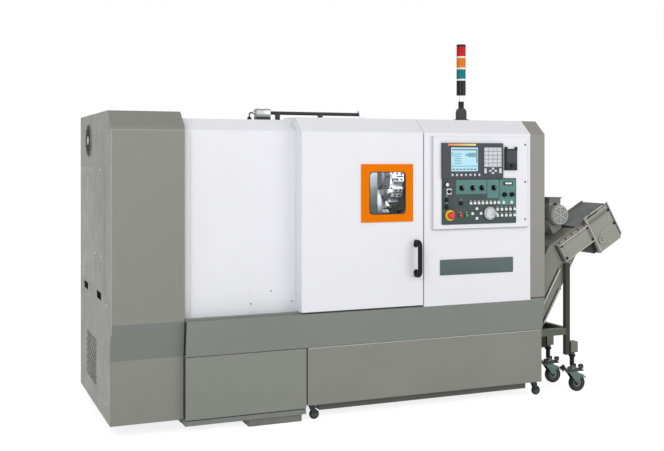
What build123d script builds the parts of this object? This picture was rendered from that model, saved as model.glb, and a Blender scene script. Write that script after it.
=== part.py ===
from build123d import *
import os
from math import cos, hypot, radians, sin

# CNC turning lathe with a sliding front door, a control panel and a chip conveyor.
# Millimetres, +Z up, +X to the right, +Y to the back. The origin is on the floor,
# at the centre of the front sole block. Places are measured from the left face
# of the cabinet and from the front plane of the door.

# Sheet metal, clearances and cuts
sheet = 4.0
seam = 3.0
slide_gap = 0.3
running_gap = 0.05
overrun = 10.0

# Datum
sole_from_left = 870.0
sole_from_front = 115.0

# Enclosure
body_length = 2550.0
body_depth = 1095.0
roof_height = 1640.0
chamfer_depth = 95.0
chamfer_height = 80.0
lip_depth = 290.0
return_depth = 88.0
return_chamfer_drop = 68.0
return_lip_drop = 6.0
return_lip_start = 165.0
band_top = 580.0
band_bottom = 395.0
band_lean = 25.0
flange_depth = 115.0

# Left cabinet
cabinet_width = 375.0
cabinet_set_back = 35.0
cabinet_rise = 20.0
cabinet_bottom = 70.0
bulkhead_margin = 120.0
fan_from_front = 763.0
fan_drop = 143.0
fan_hole_radius = 82.0
vent_from_front = 672.0
vent_height = 308.0
vent_columns = 6
vent_rows = 14
vent_pitch_y = 54.0
vent_pitch_z = 17.6
vent_slot_length = 34.0
vent_slot_height = 8.0
pull_front_from_front = 408.0
pull_rear_from_front = 866.0
pull_height = 685.0
pull_length = 146.0
pull_opening = 40.0
pull_depth = 26.0

# Cooling fan
guard_radius = 92.0
guard_ring_width = 5.0
guard_pitch = 21.0
guard_thickness = 6.0
guard_spoke_width = 7.0
guard_hub_radius = 15.0
fan_bar_offset = 56.0
fan_bar_width = 24.0
fan_pin_radius = 6.0
fan_hub_radius = 22.0
fan_hub_length = 30.0
fan_hub_offset = 18.0
fan_blade_count = 5
fan_blade_reach = 74.0
fan_blade_chord = 34.0
fan_blade_thickness = 3.0
fan_blade_pitch = 35.0

# Canopy behind the door
canopy_set_back = 94.0
canopy_drop = 13.0
canopy_chamfer_depth = 79.0
canopy_chamfer_height = 62.0
canopy_end_from_left = 2450.0
canopy_opening_depth = 260.0

# Door
door_from_left = 1004.0
door_width = 734.0
door_bottom = 590.0
door_flange_depth = 70.0
door_travel = 540.0
rail_from_front = 30.0
rail_width = 30.0
window_from_edge = 506.0
window_drop = 416.0
window_width = 221.0
window_tall = 234.0
window_corner = 14.0
frame_border_x = 47.0
frame_border_z = 43.0
frame_thickness = 8.0
glass_border = 15.0
glass_thickness = 6.0
handle_from_edge = 686.0
handle_height = 855.0
handle_length = 186.0
handle_reach = 50.0
handle_radius = 13.0
handle_bend = 26.0

# Door cylinder on the roof
cylinder_from_left = 934.0
cylinder_length = 590.0
cylinder_from_front = 330.0
cylinder_rise = 45.0
cylinder_radius = 10.0
cylinder_head_length = 84.0
cylinder_head_width = 44.0
cylinder_head_height = 42.0
cylinder_foot_first = 48.0
cylinder_foot_pitch = 260.0
cylinder_foot_width = 24.0
fitting_radius = 4.0
fitting_reach = 34.0
fitting_drop = 24.0
fitting_bend = 12.0
carriage_length = 44.0
carriage_width = 28.0
carriage_height = 20.0
carriage_arm = 8.0

# Right panel and end cover
end_cover_width = 97.0
conveyor_cut_margin = 14.0
conveyor_cut_bottom = 340.0
conveyor_cut_top = 800.0

# Lower panel at the left
panel_right_from_left = 1041.0

# Rear cover and electrical cabinet
electrical_from_left = 1250.0
electrical_width = 850.0
electrical_depth = 355.0
electrical_bottom = 350.0
electrical_drop = 67.0
electrical_door_thickness = 25.0
latch_radius = 22.0
latch_length = 14.0
latch_inset = 60.0

# Bed casting
bed_bottom = 38.0
bed_flange_height = 26.0
bed_flange_set_back = 32.0
bed_back = 1040.0
bed_right_from_left = 2440.0
pedestal_right_from_left = 1035.0
headstock_seat_right = 1480.0
bed_foot_from_front = 600.0
bed_foot_height = 390.0
bed_nose_depth = 103.3
slant = 45.0
way_offset = 330.0
slope_low = -330.0
slope_high = 330.0
way_spread = 200.0
way_width = 34.0
way_height = 30.0
way_left_from_left = 1520.0

# Sole blocks, placed as shares of the spans from the front one
sole_length = 298.0
sole_width = 150.0
sole_places_shares = [(0.0, 0.0), (-0.25, 1.0), (0.55, 1.0), (1.0, 1.0), (0.3, 0.68), (1.0, 0.68)]
sole_span_x = 1380.0
sole_span_y = 820.0

# Spindle, headstock and chuck
spindle_from_front = 430.0
spindle_height = 1130.0
headstock_left = 620.0
headstock_right = 1500.0
headstock_half_width = 190.0
headstock_drop = 200.0
headstock_rise = 190.0
headstock_chamfer = 70.0
spindle_radius = 60.0
spindle_bore = 31.0
spindle_left = 520.0
pulley_left = 536.0
pulley_right = 608.0
pulley_radius = 120.0
pulley_groove = 8.0
pulley_groove_count = 4
spindle_flange_radius = 95.0
chuck_left = 1530.0
chuck_length = 110.0
chuck_radius = 105.0
chuck_bore = 26.0
chuck_edge = 5.0
jaw_count = 3
jaw_inner = 40.0
jaw_outer = 98.0
jaw_width = 36.0
jaw_height = 50.0
jaw_step = 24.0
jaw_step_height = 22.0
jaw_key_width = 20.0
jaw_key_depth = 11.0
jaw_travel = 4.0

# Splash wall beside the chuck
splash_front = 110.0
splash_bottom = 600.0
splash_drop = 27.0
splash_corner = 70.0
splash_hole = 105.0
splash_clearance = 8.0

# Saddle, cross slide and turret
saddle_left = 1852.0
saddle_length = 240.0
saddle_low = -270.0
saddle_high = 330.0
saddle_bottom = 36.0
saddle_top = 120.0
guide_block = 44.0
guide_skirt = 6.0
cross_way_half_width = 70.0
cross_way_top = 146.0
cross_cover = 24.0
turret_reach = 250.0
cross_half_length = 125.0
cross_top = 440.0
cross_edge = 45.0
turret_left = 1745.0
turret_thickness = 85.0
turret_stations = 12
turret_flat_radius = 165.0
turret_cap_radius = 78.0
turret_cap_height = 14.0
turret_shaft_radius = 50.0
turret_shaft_length = 46.0
collar_radius = 84.0
holder_width = 62.0
holder_length = 66.0
holder_height = 34.0
shank_size = 20.0
shank_reach = 16.0
bar_radius = 14.0
bar_reach = 24.0

# Control box on the right panel, with the panels' edges measured from the box
box_from_edge = 50.0
box_width = 629.0
box_tall = 529.0
box_drop = 99.0
box_depth = 20.0
box_edge = 6.0
unit_from_edge = 49.0
unit_rise = 290.0
unit_width = 401.0
unit_tall = 202.0
unit_depth = 14.0
operator_from_edge = 52.0
operator_rise = 29.0
operator_width = 490.0
operator_tall = 259.0
operator_plate = 4.0
operator_pocket_margin = 16.0

# Screen, keypad and soft keys, measured from the control unit's edges
screen_from_edge = 55.0
screen_rise = 40.0
screen_width = 179.0
screen_tall = 137.0
screen_recess = 3.0
keypad_from_edge = 266.0
keypad_rise = 20.0
keypad_width = 126.0
keypad_tall = 162.0
keypad_plate = 2.0
key_columns = 4
key_rows = 5
key_gap = 4.0
key_height = 2.5
key_margin = 5.0
key_field_tall = 112.0
cursor_width = 16.0
cursor_tall = 11.0
cursor_gap = 2.0
corner_key_tall = 28.0
soft_key_count = 7
soft_key_radius = 7.0
soft_key_from_edge = 63.0
soft_key_rise = 20.0
soft_key_pitch = 29.3

# Key caps, window and small fixed controls, measured from the operator panel's edges
cap_size = 15.0
cap_height = 5.0
cap_row_rise = 119.0
cap_row_from_edge = 186.0
cap_row_pitch = 26.5
cap_row_count = 8
cap_pair_from_edge = 405.0
cap_pair_pitch = 54.0
cap_block_from_edge = 364.0
cap_block_rise = 45.0
cap_block_pitch_x = 29.0
cap_block_pitch_z = 35.0
cap_block_columns = 5
cap_block_rows = 2
jog_from_edge = 225.0
jog_rise = 59.0
jog_reach = 28.0
meter_from_edge = 436.0
meter_rise = 230.0
meter_width = 56.0
meter_tall = 18.0
selector_from_edge = 412.0
selector_rise = 165.0
selector_pitch = 50.0
selector_radius = 11.0
selector_depth = 14.0
small_control_radius = 9.0
small_control_depth = 8.0
small_control_shares = [(0.06, 0.873), (0.06, 0.537), (0.06, 0.382), (0.25, 0.459)]

# Knobs, buttons, handwheel and key switch, measured from the operator panel's edges
shaft_radius = 4.0
shaft_length = 12.0
knob_radius = 15.0
knob_depth = 8.0
knob_grip_width = 9.0
knob_grip_depth = 12.0
knob_rise = 206.0
knob_shares = {"mode_knob": 0.257, "feed_knob": 0.404, "rapid_knob": 0.527, "spindle_knob": 0.69}
stop_from_edge = 51.0
stop_rise = 51.0
stop_radius = 21.0
stop_stem_radius = 13.0
stop_depth = 13.0
stop_stand_off = 16.0
stop_dome_shares = [(1.0, 0.35), (0.9, 0.7), (0.62, 1.0)]
button_shares = {"feed_hold_button": 0.243, "cycle_start_button": 0.3225}
button_rise = 51.0
button_radius = 10.0
button_stand_off = 9.0
button_edge = 1.5
button_stem = 10.0
handwheel_from_edge = 311.0
handwheel_rise = 59.0
handwheel_radius = 37.0
handwheel_depth = 16.0
handwheel_edge = 4.0
handwheel_dish = 26.0
handwheel_grip_radius = 7.0
handwheel_grip_depth = 20.0
handwheel_grip_offset = 25.0
key_from_edge = 45.0
key_rise = 187.0
key_barrel_radius = 11.0
key_barrel_depth = 6.0
key_bow_width = 22.0
key_bow_height = 8.0
key_bow_depth = 14.0

# Card slot cover, measured from the control box's edges
card_from_edge = 465.0
card_rise = 335.0
card_width = 84.0
card_tall = 125.0
card_depth = 10.0
card_edge = 3.0

# Signal tower
tower_from_left = 2126.0
tower_from_front = 250.0
tower_radius = 28.0
tower_core_radius = 20.0
tower_foot_x = 110.0
tower_foot_y = 70.0
tower_foot_thickness = 4.0
tower_bracket_width = 52.0
tower_bracket_depth = 40.0
tower_bracket_height = 72.0
tower_shoulder_height = 18.0
tower_neck_radius = 17.0
tower_neck_height = 42.0
tower_pole_radius = 11.0
tower_pole_height = 37.0
tower_base_height = 88.0
tower_ring_height = 11.0
tower_lens_height = 57.0
tower_cap_height = 14.0
tower_names = ["tower_lens_green", "tower_lens_amber", "tower_lens_red"]

# Coolant tank
tank_from_left = 1049.0
tank_right_from_left = 2546.0
tank_back = 590.0
tank_bottom = 83.0
tank_top = 391.0
tank_lip = 22.0
seal_set_back = 8.0
seal_width = 12.0
beam_inset = 84.0
beam_from_front = 70.0
beam_width = 60.0
beam_drop = 42.0
skid_from_front = 500.0
skid_width = 60.0

# Chip conveyor, with its head tilted and its incline steeper
conveyor_front = 55.0
conveyor_width = 215.0
head_overhang = 15.0
head_tilt = 30.0
incline = 60.0
bend_from_left = 2800.0
bend_height = 904.0
bend_back = 122.0
incline_below = 115.0
incline_above = 85.0
bend_below = 70.0
bend_above = 75.0
bend_radius = 230.0
run_left = 1230.0
run_top = 300.0
run_opening_margin = 30.0
run_opening_right = 2330.0
head_start = 125.0
head_end = 325.0
head_low = -155.0
head_high = 80.0
head_corner = 22.0
mouth_margin = 24.0
side_cover_half_length = 122.0
side_cover_half_height = 54.0
side_cover_depth = 34.0
bearing_radius = 32.0
bearing_depth = 9.0
drum_along = 182.0
drum_across = -87.0
drum_radius = 42.0
drum_cleats = 8
cleat_height = 8.0
cleat_width = 6.0
drum_shaft_radius = 12.0
drum_clearance = 6.0
hood_start = 46.0
hood_end = 318.0
hood_thickness = 6.0
head_plate_rise = 14.0
rail_strip_width = 12.0
rail_strip_proud = 8.0
rail_strip_bottom = 430.0
low_rail_across = -109.0
low_rail_top = 630.0
high_rail_across = -50.0
high_rail_top = 750.0
motor_along = 29.0
motor_across = 172.0
motor_radius = 56.0
motor_front = 150.0
motor_length = 150.0
motor_fins = 20
fin_height = 6.0
fin_width = 4.0
fin_margin = 12.0
fan_cover_radius = 64.0
fan_cover_length = 48.0
fan_cover_edge = 10.0
fan_cover_vents = 6
fan_cover_vent_radius = 6.0
fan_cover_vent_circle = 34.0
fan_cover_vent_depth = 4.0
motor_foot_start = -40.0
motor_foot_end = 36.0
terminal_width = 84.0
terminal_depth = 90.0
terminal_height = 46.0
gearbox_size = 128.0
gearbox_length = 88.0

# Conveyor stand
post_from_left = 2721.0
post_size = 30.0
post_bottom = 228.0
post_top = 780.0
brace_bottom = 350.0
brace_top = 390.0
sleeve_length = 50.0
sleeve_bottom = 242.0
sleeve_top = 306.0
stem_radius = 9.0
stem_nut_radius = 17.0
stem_nut_height = 16.0
caster_plate_length = 108.0
caster_plate_width = 84.0
caster_plate_thickness = 8.0
plate_bolt_radius = 9.0
plate_bolt_height = 22.0
plate_bolt_inset = 12.0

# Casters as wheel radius, wheel width, fork thickness, trail, swivel radius, axle radius
stand_caster = dict(wheel=52.0, width=32.0, fork=5.0, trail=34.0, swivel=34.0, axle=7.0, side=4.0)
tank_caster = dict(wheel=27.0, width=18.0, fork=3.0, trail=14.0, swivel=18.0, axle=4.0, side=2.0)
caster_head = 10.0
hub_share = 0.55
fork_shoulder_share = 0.9
tread_share = 0.14
tread_round_share = 0.3
tank_caster_inset = 34.0
tank_caster_from_front = 58.0

# Places in the model's frame
left_x = -sole_from_left
front_y = -sole_from_front


def x_at(distance):
    """X of a place measured from the cabinet's left face."""
    return left_x + distance


def y_at(distance):
    """Y of a place measured from the door's front plane."""
    return front_y + distance


right_x = x_at(body_length)
back_y = y_at(body_depth)
cabinet_right_x = x_at(cabinet_width)
panel_left_x = cabinet_right_x + seam
door_left_x = x_at(door_from_left)
door_right_x = door_left_x + door_width
right_panel_x = door_right_x + seam
end_cover_x = right_x - end_cover_width
spindle_y = y_at(spindle_from_front)
box_face_y = front_y - box_depth
unit_face_y = box_face_y - unit_depth
operator_face_y = box_face_y - operator_plate

# Heights that follow the roof, and the control panels that follow their box
cabinet_height = roof_height + cabinet_rise
canopy_height = roof_height - canopy_drop
fan_height = cabinet_height - fan_drop
window_height = roof_height - window_drop
cylinder_height = canopy_height + cylinder_rise
splash_top = canopy_height - splash_drop
electrical_top = canopy_height - electrical_drop
box_x = right_panel_x + box_from_edge
box_top = roof_height - box_drop
box_bottom = box_top - box_tall
unit_x = box_x + unit_from_edge
unit_bottom = box_bottom + unit_rise
operator_x = box_x + operator_from_edge
operator_right_x = operator_x + operator_width
operator_bottom = box_bottom + operator_rise
operator_top = operator_bottom + operator_tall

os.makedirs("parts", exist_ok=True)


def save(builder, name):
    """Label a finished piece and write its file."""
    builder.part.label = name
    export_step(builder.part, "parts/" + name + ".step")


def block(x0, x1, y0, y1, z0, z1, mode=Mode.ADD):
    """A box given by its limits."""
    with Locations(((x0 + x1) / 2, (y0 + y1) / 2, (z0 + z1) / 2)):
        Box(x1 - x0, y1 - y0, z1 - z0, mode=mode)


def rod(start, direction, radius, length, mode=Mode.ADD):
    """A cylinder that starts at a point and runs along a direction."""
    with Locations(Plane(origin=start, z_dir=direction)):
        Cylinder(radius, length, align=(Align.CENTER, Align.CENTER, Align.MIN), mode=mode)


def profile_x(points, x0, x1, mode=Mode.ADD):
    """A closed (y, z) outline extruded from x0 to x1."""
    with BuildSketch(Plane.YZ.offset(x0)) as outline:
        with BuildLine():
            Polyline(*points, close=True)
        make_face()
    extrude(outline.sketch, amount=x1 - x0, mode=mode)


def profile_y(points, y0, y1, mode=Mode.ADD):
    """A closed (x, z) outline extruded from y0 to y1."""
    with BuildSketch(Plane.XZ.offset(-y0)) as outline:
        with BuildLine():
            Polyline(*points, close=True)
        make_face()
    extrude(outline.sketch, amount=y0 - y1, mode=mode)


def folded(points, thickness=sheet):
    """Closed outline of a folded sheet that lies to the right of its outer points."""
    headings = []
    for start, end in zip(points, points[1:]):
        run = hypot(end[0] - start[0], end[1] - start[1])
        headings.append(((end[0] - start[0]) / run, (end[1] - start[1]) / run))
    inner = []
    for index, point in enumerate(points):
        before = headings[max(index - 1, 0)]
        after = headings[min(index, len(headings) - 1)]
        turn = 1 + before[0] * after[0] + before[1] * after[1]
        inner.append(
            (
                point[0] + thickness * (before[1] + after[1]) / turn,
                point[1] - thickness * (before[0] + after[0]) / turn,
            )
        )
    return points + inner[::-1]


def wrap_points(bottom, lip_end):
    """Outer line of the front wall, its chamfer and its roof lip."""
    return [
        (front_y, bottom),
        (front_y, roof_height - chamfer_height),
        (y_at(chamfer_depth), roof_height),
        (y_at(lip_end), roof_height),
    ]


def return_points(bottom):
    """Side return of a wrapped panel, clear of the canopy that it slides over."""
    return wrap_points(bottom, lip_depth) + [
        (y_at(lip_depth), roof_height - return_lip_drop),
        (y_at(return_lip_start), roof_height - return_lip_drop),
        (y_at(return_depth), roof_height - return_chamfer_drop),
        (y_at(return_depth), bottom),
    ]


# Left cabinet: a folded shell over the belt end of the headstock
fan_y = y_at(fan_from_front)
fan_bar_x = left_x + fan_bar_offset
cabinet_line = [
    (y_at(cabinet_set_back + band_lean), cabinet_bottom),
    (y_at(cabinet_set_back + band_lean), band_bottom),
    (y_at(cabinet_set_back), band_top),
    (y_at(cabinet_set_back), cabinet_height - chamfer_height),
    (y_at(cabinet_set_back + chamfer_depth), cabinet_height),
    (back_y, cabinet_height),
    (back_y, cabinet_bottom),
]
with BuildPart() as left_cabinet:
    profile_x(folded(cabinet_line), left_x, cabinet_right_x)
    profile_x(cabinet_line, left_x, left_x + sheet)
    profile_x(cabinet_line, cabinet_right_x - sheet, cabinet_right_x)
    block(
        cabinet_right_x - sheet - overrun, cabinet_right_x + overrun,
        y_at(cabinet_set_back + bulkhead_margin), back_y - bulkhead_margin,
        cabinet_bottom + bulkhead_margin, cabinet_height - bulkhead_margin - chamfer_height,
        mode=Mode.SUBTRACT,
    )
    rod((left_x - overrun, fan_y, fan_height), (1, 0, 0), fan_hole_radius, sheet + 2 * overrun, Mode.SUBTRACT)
    for row in range(vent_rows):
        row_z = vent_height + (row - (vent_rows - 1) / 2) * vent_pitch_z
        for column in range(vent_columns):
            stagger = (row % 2) / 2
            hole_y = y_at(vent_from_front) + (column + stagger - vent_columns / 2) * vent_pitch_y
            with Locations((left_x, hole_y, row_z)):
                Box(2 * overrun, vent_slot_length, vent_slot_height, mode=Mode.SUBTRACT)
    for pull_from_front in (pull_front_from_front, pull_rear_from_front):
        pull_y = y_at(pull_from_front)
        block(
            left_x, left_x + pull_depth + sheet,
            pull_y - pull_length / 2 - sheet, pull_y + pull_length / 2 + sheet,
            pull_height - pull_opening / 2 - sheet, pull_height + pull_opening / 2 + sheet,
        )
        block(
            left_x - overrun, left_x + pull_depth,
            pull_y - pull_length / 2, pull_y + pull_length / 2,
            pull_height - pull_opening / 2, pull_height + pull_opening / 2,
            mode=Mode.SUBTRACT,
        )
    block(
        fan_bar_x, fan_bar_x + sheet,
        fan_y - guard_radius, fan_y + guard_radius,
        fan_height - fan_bar_width / 2, fan_height + fan_bar_width / 2,
    )
    for side in (-1, 1):
        leg_y = fan_y + side * (guard_radius - sheet / 2)
        block(
            left_x + sheet, fan_bar_x + sheet,
            leg_y - sheet / 2, leg_y + sheet / 2,
            fan_height - fan_bar_width / 2, fan_height + fan_bar_width / 2,
        )
    rod((fan_bar_x, fan_y, fan_height), (-1, 0, 0), fan_pin_radius, fan_bar_offset - fan_hub_offset)
save(left_cabinet, "left_cabinet")

# Fan guard: concentric rings on four spokes, seated on the cabinet's side
with BuildPart() as fan_guard:
    with BuildSketch(Plane(origin=(left_x, fan_y, fan_height), x_dir=(0, 1, 0), z_dir=(-1, 0, 0))):
        ring_outer = guard_radius
        while ring_outer > guard_hub_radius + guard_pitch / 2:
            Circle(ring_outer)
            Circle(ring_outer - guard_ring_width, mode=Mode.SUBTRACT)
            ring_outer = ring_outer - guard_pitch
        Rectangle(2 * guard_radius - guard_ring_width, guard_spoke_width)
        Rectangle(guard_spoke_width, 2 * guard_radius - guard_ring_width)
        Circle(guard_hub_radius)
    extrude(amount=guard_thickness)
save(fan_guard, "fan_guard")

# Fan rotor: pitched blades on a hub that turns on the bar's pin
with BuildPart() as fan_rotor:
    rod((left_x + fan_hub_offset, fan_y, fan_height), (1, 0, 0), fan_hub_radius, fan_hub_length)
    blade_mid = (fan_hub_radius + fan_blade_reach) / 2
    blade_span = fan_blade_reach - fan_hub_radius + sheet
    for blade in range(fan_blade_count):
        turn = blade * 360 / fan_blade_count
        arm = Plane(
            origin=(
                left_x + fan_hub_offset + fan_hub_length / 2,
                fan_y + blade_mid * cos(radians(turn)),
                fan_height + blade_mid * sin(radians(turn)),
            ),
            x_dir=(0, cos(radians(turn)), sin(radians(turn))),
            z_dir=(1, 0, 0),
        )
        with Locations(arm.rotated((fan_blade_pitch, 0, 0))):
            Box(blade_span, fan_blade_chord, fan_blade_thickness)
    rod(
        (left_x + fan_hub_offset - overrun, fan_y, fan_height), (1, 0, 0),
        fan_pin_radius + running_gap, fan_hub_length + 2 * overrun, Mode.SUBTRACT,
    )
save(fan_rotor, "fan_rotor")

# Canopy: left fixed panel, its chamfer and the roof, open behind the door
canopy_line = [
    (y_at(canopy_set_back), band_top),
    (y_at(canopy_set_back), canopy_height - canopy_chamfer_height),
    (y_at(canopy_set_back + canopy_chamfer_depth), canopy_height),
    (back_y - sheet, canopy_height),
]
with BuildPart() as canopy:
    profile_x(folded(canopy_line), cabinet_right_x, x_at(canopy_end_from_left))
    block(
        door_left_x + 2 * sheet, x_at(canopy_end_from_left) + overrun,
        front_y, y_at(canopy_opening_depth),
        band_top - overrun, canopy_height + overrun,
        mode=Mode.SUBTRACT,
    )
save(canopy, "canopy")

# Way out of the conveyor through the apron, the right panel and the end cover
conveyor_cut = (
    x_at(run_opening_right), right_x + overrun,
    y_at(conveyor_front - conveyor_cut_margin), y_at(conveyor_front + conveyor_width + conveyor_cut_margin),
    conveyor_cut_bottom, conveyor_cut_top,
)

# Front apron: the leaning band with the door's lower rail
apron_line = [
    (y_at(flange_depth), band_bottom),
    (y_at(band_lean), band_bottom),
    (front_y, band_top),
    (y_at(flange_depth), band_top),
]
with BuildPart() as front_apron:
    profile_x(folded(apron_line), panel_left_x, right_x)
    profile_x(apron_line, right_x - sheet, right_x)
    block(
        door_left_x - door_travel - 2 * overrun, door_right_x,
        y_at(rail_from_front), y_at(rail_from_front + rail_width),
        band_top, door_bottom - slide_gap,
    )
    block(*conveyor_cut, mode=Mode.SUBTRACT)
save(front_apron, "front_apron")

# Lower left panel: a pan in front of the pedestal
lower_panel_line = [
    (y_at(flange_depth), cabinet_bottom),
    (y_at(band_lean), cabinet_bottom),
    (y_at(band_lean), band_bottom - seam),
    (y_at(flange_depth), band_bottom - seam),
]
with BuildPart() as lower_left_panel:
    profile_x(folded(lower_panel_line), panel_left_x, x_at(panel_right_from_left))
    profile_x(lower_panel_line, x_at(panel_right_from_left) - sheet, x_at(panel_right_from_left))
save(lower_left_panel, "lower_left_panel")

# Door: a wrapped pan with a window opening
window_x = door_left_x + window_from_edge
with BuildPart() as door_panel:
    profile_x(folded(wrap_points(door_bottom, lip_depth)), door_left_x, door_right_x)
    profile_x(return_points(door_bottom), door_left_x, door_left_x + sheet)
    profile_x(return_points(door_bottom), door_right_x - sheet, door_right_x)
    block(
        door_left_x, door_right_x, front_y, y_at(door_flange_depth), door_bottom, door_bottom + sheet,
    )
    with BuildSketch(Plane.XZ.offset(-front_y)) as window_opening:
        with Locations((window_x, window_height)):
            RectangleRounded(window_width, window_tall, window_corner)
    extrude(window_opening.sketch, amount=overrun, both=True, mode=Mode.SUBTRACT)
save(door_panel, "door_panel")

# Window frame and glass
with BuildPart() as window_frame:
    with BuildSketch(Plane.XZ.offset(-front_y)):
        with Locations((window_x, window_height)):
            Rectangle(window_width + 2 * frame_border_x, window_tall + 2 * frame_border_z)
            RectangleRounded(window_width, window_tall, window_corner, mode=Mode.SUBTRACT)
    extrude(amount=frame_thickness)
save(window_frame, "window_frame")

with BuildPart() as window_glass:
    block(
        window_x - window_width / 2 - glass_border, window_x + window_width / 2 + glass_border,
        front_y + sheet, front_y + sheet + glass_thickness,
        window_height - window_tall / 2 - glass_border, window_height + window_tall / 2 + glass_border,
    )
save(window_glass, "window_glass")

# Door handle: a bent tube on the door's right side
handle_x = door_left_x + handle_from_edge
handle_y = front_y - handle_reach
with BuildPart() as door_handle:
    with BuildLine() as handle_path:
        FilletPolyline(
            (handle_x, front_y, handle_height - handle_length / 2),
            (handle_x, handle_y, handle_height - handle_length / 2),
            (handle_x, handle_y, handle_height + handle_length / 2),
            (handle_x, front_y, handle_height + handle_length / 2),
            radius=handle_bend,
        )
    with BuildSketch(Plane.XZ.offset(-front_y)) as handle_section:
        with Locations((handle_x, handle_height - handle_length / 2)):
            Circle(handle_radius)
    sweep(handle_section.sketch, path=handle_path.line)
save(door_handle, "door_handle")

# Door cylinder: a fixed barrel on two feet, with its head and air fitting
cylinder_x = x_at(cylinder_from_left)
cylinder_y = y_at(cylinder_from_front)
cylinder_end_x = cylinder_x + cylinder_length
with BuildPart() as door_cylinder:
    rod((cylinder_x, cylinder_y, cylinder_height), (1, 0, 0), cylinder_radius, cylinder_length)
    block(
        cylinder_x - cylinder_head_length, cylinder_x,
        cylinder_y - cylinder_head_width / 2, cylinder_y + cylinder_head_width / 2,
        canopy_height, cylinder_height + cylinder_head_height / 2,
    )
    for foot in range(2):
        foot_x = cylinder_x + cylinder_foot_first + foot * cylinder_foot_pitch
        block(
            foot_x - cylinder_foot_width / 2, foot_x + cylinder_foot_width / 2,
            cylinder_y - cylinder_radius, cylinder_y + cylinder_radius,
            canopy_height, cylinder_height,
        )
    fitting_x = cylinder_x - cylinder_head_length
    with BuildLine() as fitting_path:
        FilletPolyline(
            (fitting_x, cylinder_y, cylinder_height),
            (fitting_x - fitting_reach, cylinder_y, cylinder_height),
            (fitting_x - fitting_reach, cylinder_y, cylinder_height - fitting_drop),
            radius=fitting_bend,
        )
    fitting_start = Plane(origin=(fitting_x, cylinder_y, cylinder_height), z_dir=(-1, 0, 0))
    with BuildSketch(fitting_start) as fitting_section:
        Circle(fitting_radius)
    sweep(fitting_section.sketch, path=fitting_path.line)
save(door_cylinder, "door_cylinder")

# Door carriage: rides on the barrel and carries an arm to the door's lip
carriage_right_x = cylinder_end_x
carriage_left_x = carriage_right_x - carriage_length
carriage_front_y = cylinder_y - carriage_width / 2
with BuildPart() as door_carriage:
    block(
        carriage_left_x, carriage_right_x,
        carriage_front_y, cylinder_y + carriage_width / 2,
        cylinder_height, cylinder_height + carriage_height,
    )
    block(
        carriage_left_x, carriage_right_x,
        carriage_front_y - carriage_arm, carriage_front_y,
        roof_height, cylinder_height + carriage_height,
    )
    block(
        carriage_left_x, carriage_right_x,
        y_at(lip_depth) - 2 * carriage_arm, carriage_front_y,
        roof_height, roof_height + carriage_arm,
    )
    rod(
        (carriage_left_x - overrun, cylinder_y, cylinder_height), (1, 0, 0),
        cylinder_radius + slide_gap, carriage_length + 2 * overrun, Mode.SUBTRACT,
    )
save(door_carriage, "door_carriage")

# Right panel: wrapped like the door, with a pocket behind the operator panel
pocket_limits = (
    operator_x + operator_pocket_margin, operator_right_x - operator_pocket_margin,
    box_face_y - overrun, front_y + sheet + overrun,
    operator_bottom + operator_pocket_margin, operator_top - operator_pocket_margin,
)
with BuildPart() as right_panel:
    profile_x(folded(wrap_points(band_top, lip_depth)), right_panel_x, end_cover_x - seam)
    profile_x(return_points(band_top), right_panel_x, right_panel_x + sheet)
    profile_x(return_points(band_top), end_cover_x - seam - sheet, end_cover_x - seam)
    block(*pocket_limits, mode=Mode.SUBTRACT)
    block(*conveyor_cut, mode=Mode.SUBTRACT)
save(right_panel, "right_panel")

# Right end cover: front strip, roof strip and the side wall with the conveyor's way out
end_cover_line = wrap_points(band_top, body_depth)
with BuildPart() as right_end_cover:
    profile_x(folded(end_cover_line), end_cover_x, right_x)
    profile_x(end_cover_line + [(back_y, band_top)], right_x - sheet, right_x)
    block(right_x - sheet, right_x, y_at(flange_depth), back_y, band_bottom, band_top)
    block(*conveyor_cut, mode=Mode.SUBTRACT)
save(right_end_cover, "right_end_cover")

# Rear cover with the electrical cabinet's box, open to the back
electrical_x0 = x_at(electrical_from_left)
electrical_x1 = electrical_x0 + electrical_width
electrical_y = back_y + electrical_depth
with BuildPart() as rear_cover:
    block(cabinet_right_x, right_x - sheet, back_y - sheet, back_y, band_bottom, canopy_height)
    block(electrical_x0, electrical_x1, back_y, electrical_y, electrical_bottom, electrical_top)
    block(
        electrical_x0 + sheet, electrical_x1 - sheet,
        back_y, electrical_y + overrun,
        electrical_bottom + sheet, electrical_top - sheet,
        mode=Mode.SUBTRACT,
    )
save(rear_cover, "rear_cover")

# Electrical cabinet door: a pan with two round latches
electrical_door_y = electrical_y + slide_gap
with BuildPart() as electrical_door:
    block(
        electrical_x0, electrical_x1,
        electrical_door_y, electrical_door_y + electrical_door_thickness,
        electrical_bottom, electrical_top,
    )
    block(
        electrical_x0 + sheet, electrical_x1 - sheet,
        electrical_door_y - overrun, electrical_door_y + electrical_door_thickness - sheet,
        electrical_bottom + sheet, electrical_top - sheet,
        mode=Mode.SUBTRACT,
    )
    for latch_z in (
        electrical_bottom + (electrical_top - electrical_bottom) / 4,
        electrical_top - (electrical_top - electrical_bottom) / 4,
    ):
        rod(
            (electrical_x0 + latch_inset, electrical_door_y + electrical_door_thickness, latch_z),
            (0, 1, 0), latch_radius, latch_length,
        )
save(electrical_door, "electrical_door")

# Slanted ways: places along the slope and square to it
slope_y = spindle_y + way_offset * sin(radians(slant))
slope_z = spindle_height - way_offset * cos(radians(slant))


def on_slope(along, square):
    """(y, z) of a place given along the slope and square to it."""
    return (
        slope_y + along * cos(radians(slant)) - square * sin(radians(slant)),
        slope_z + along * sin(radians(slant)) + square * cos(radians(slant)),
    )


def slope_block(along0, along1, square0, square1, x0, x1, mode=Mode.ADD):
    """A box that lies square to the slope."""
    corners = [(along0, square0), (along1, square0), (along1, square1), (along0, square1)]
    profile_x([on_slope(*corner) for corner in corners], x0, x1, mode)


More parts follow.
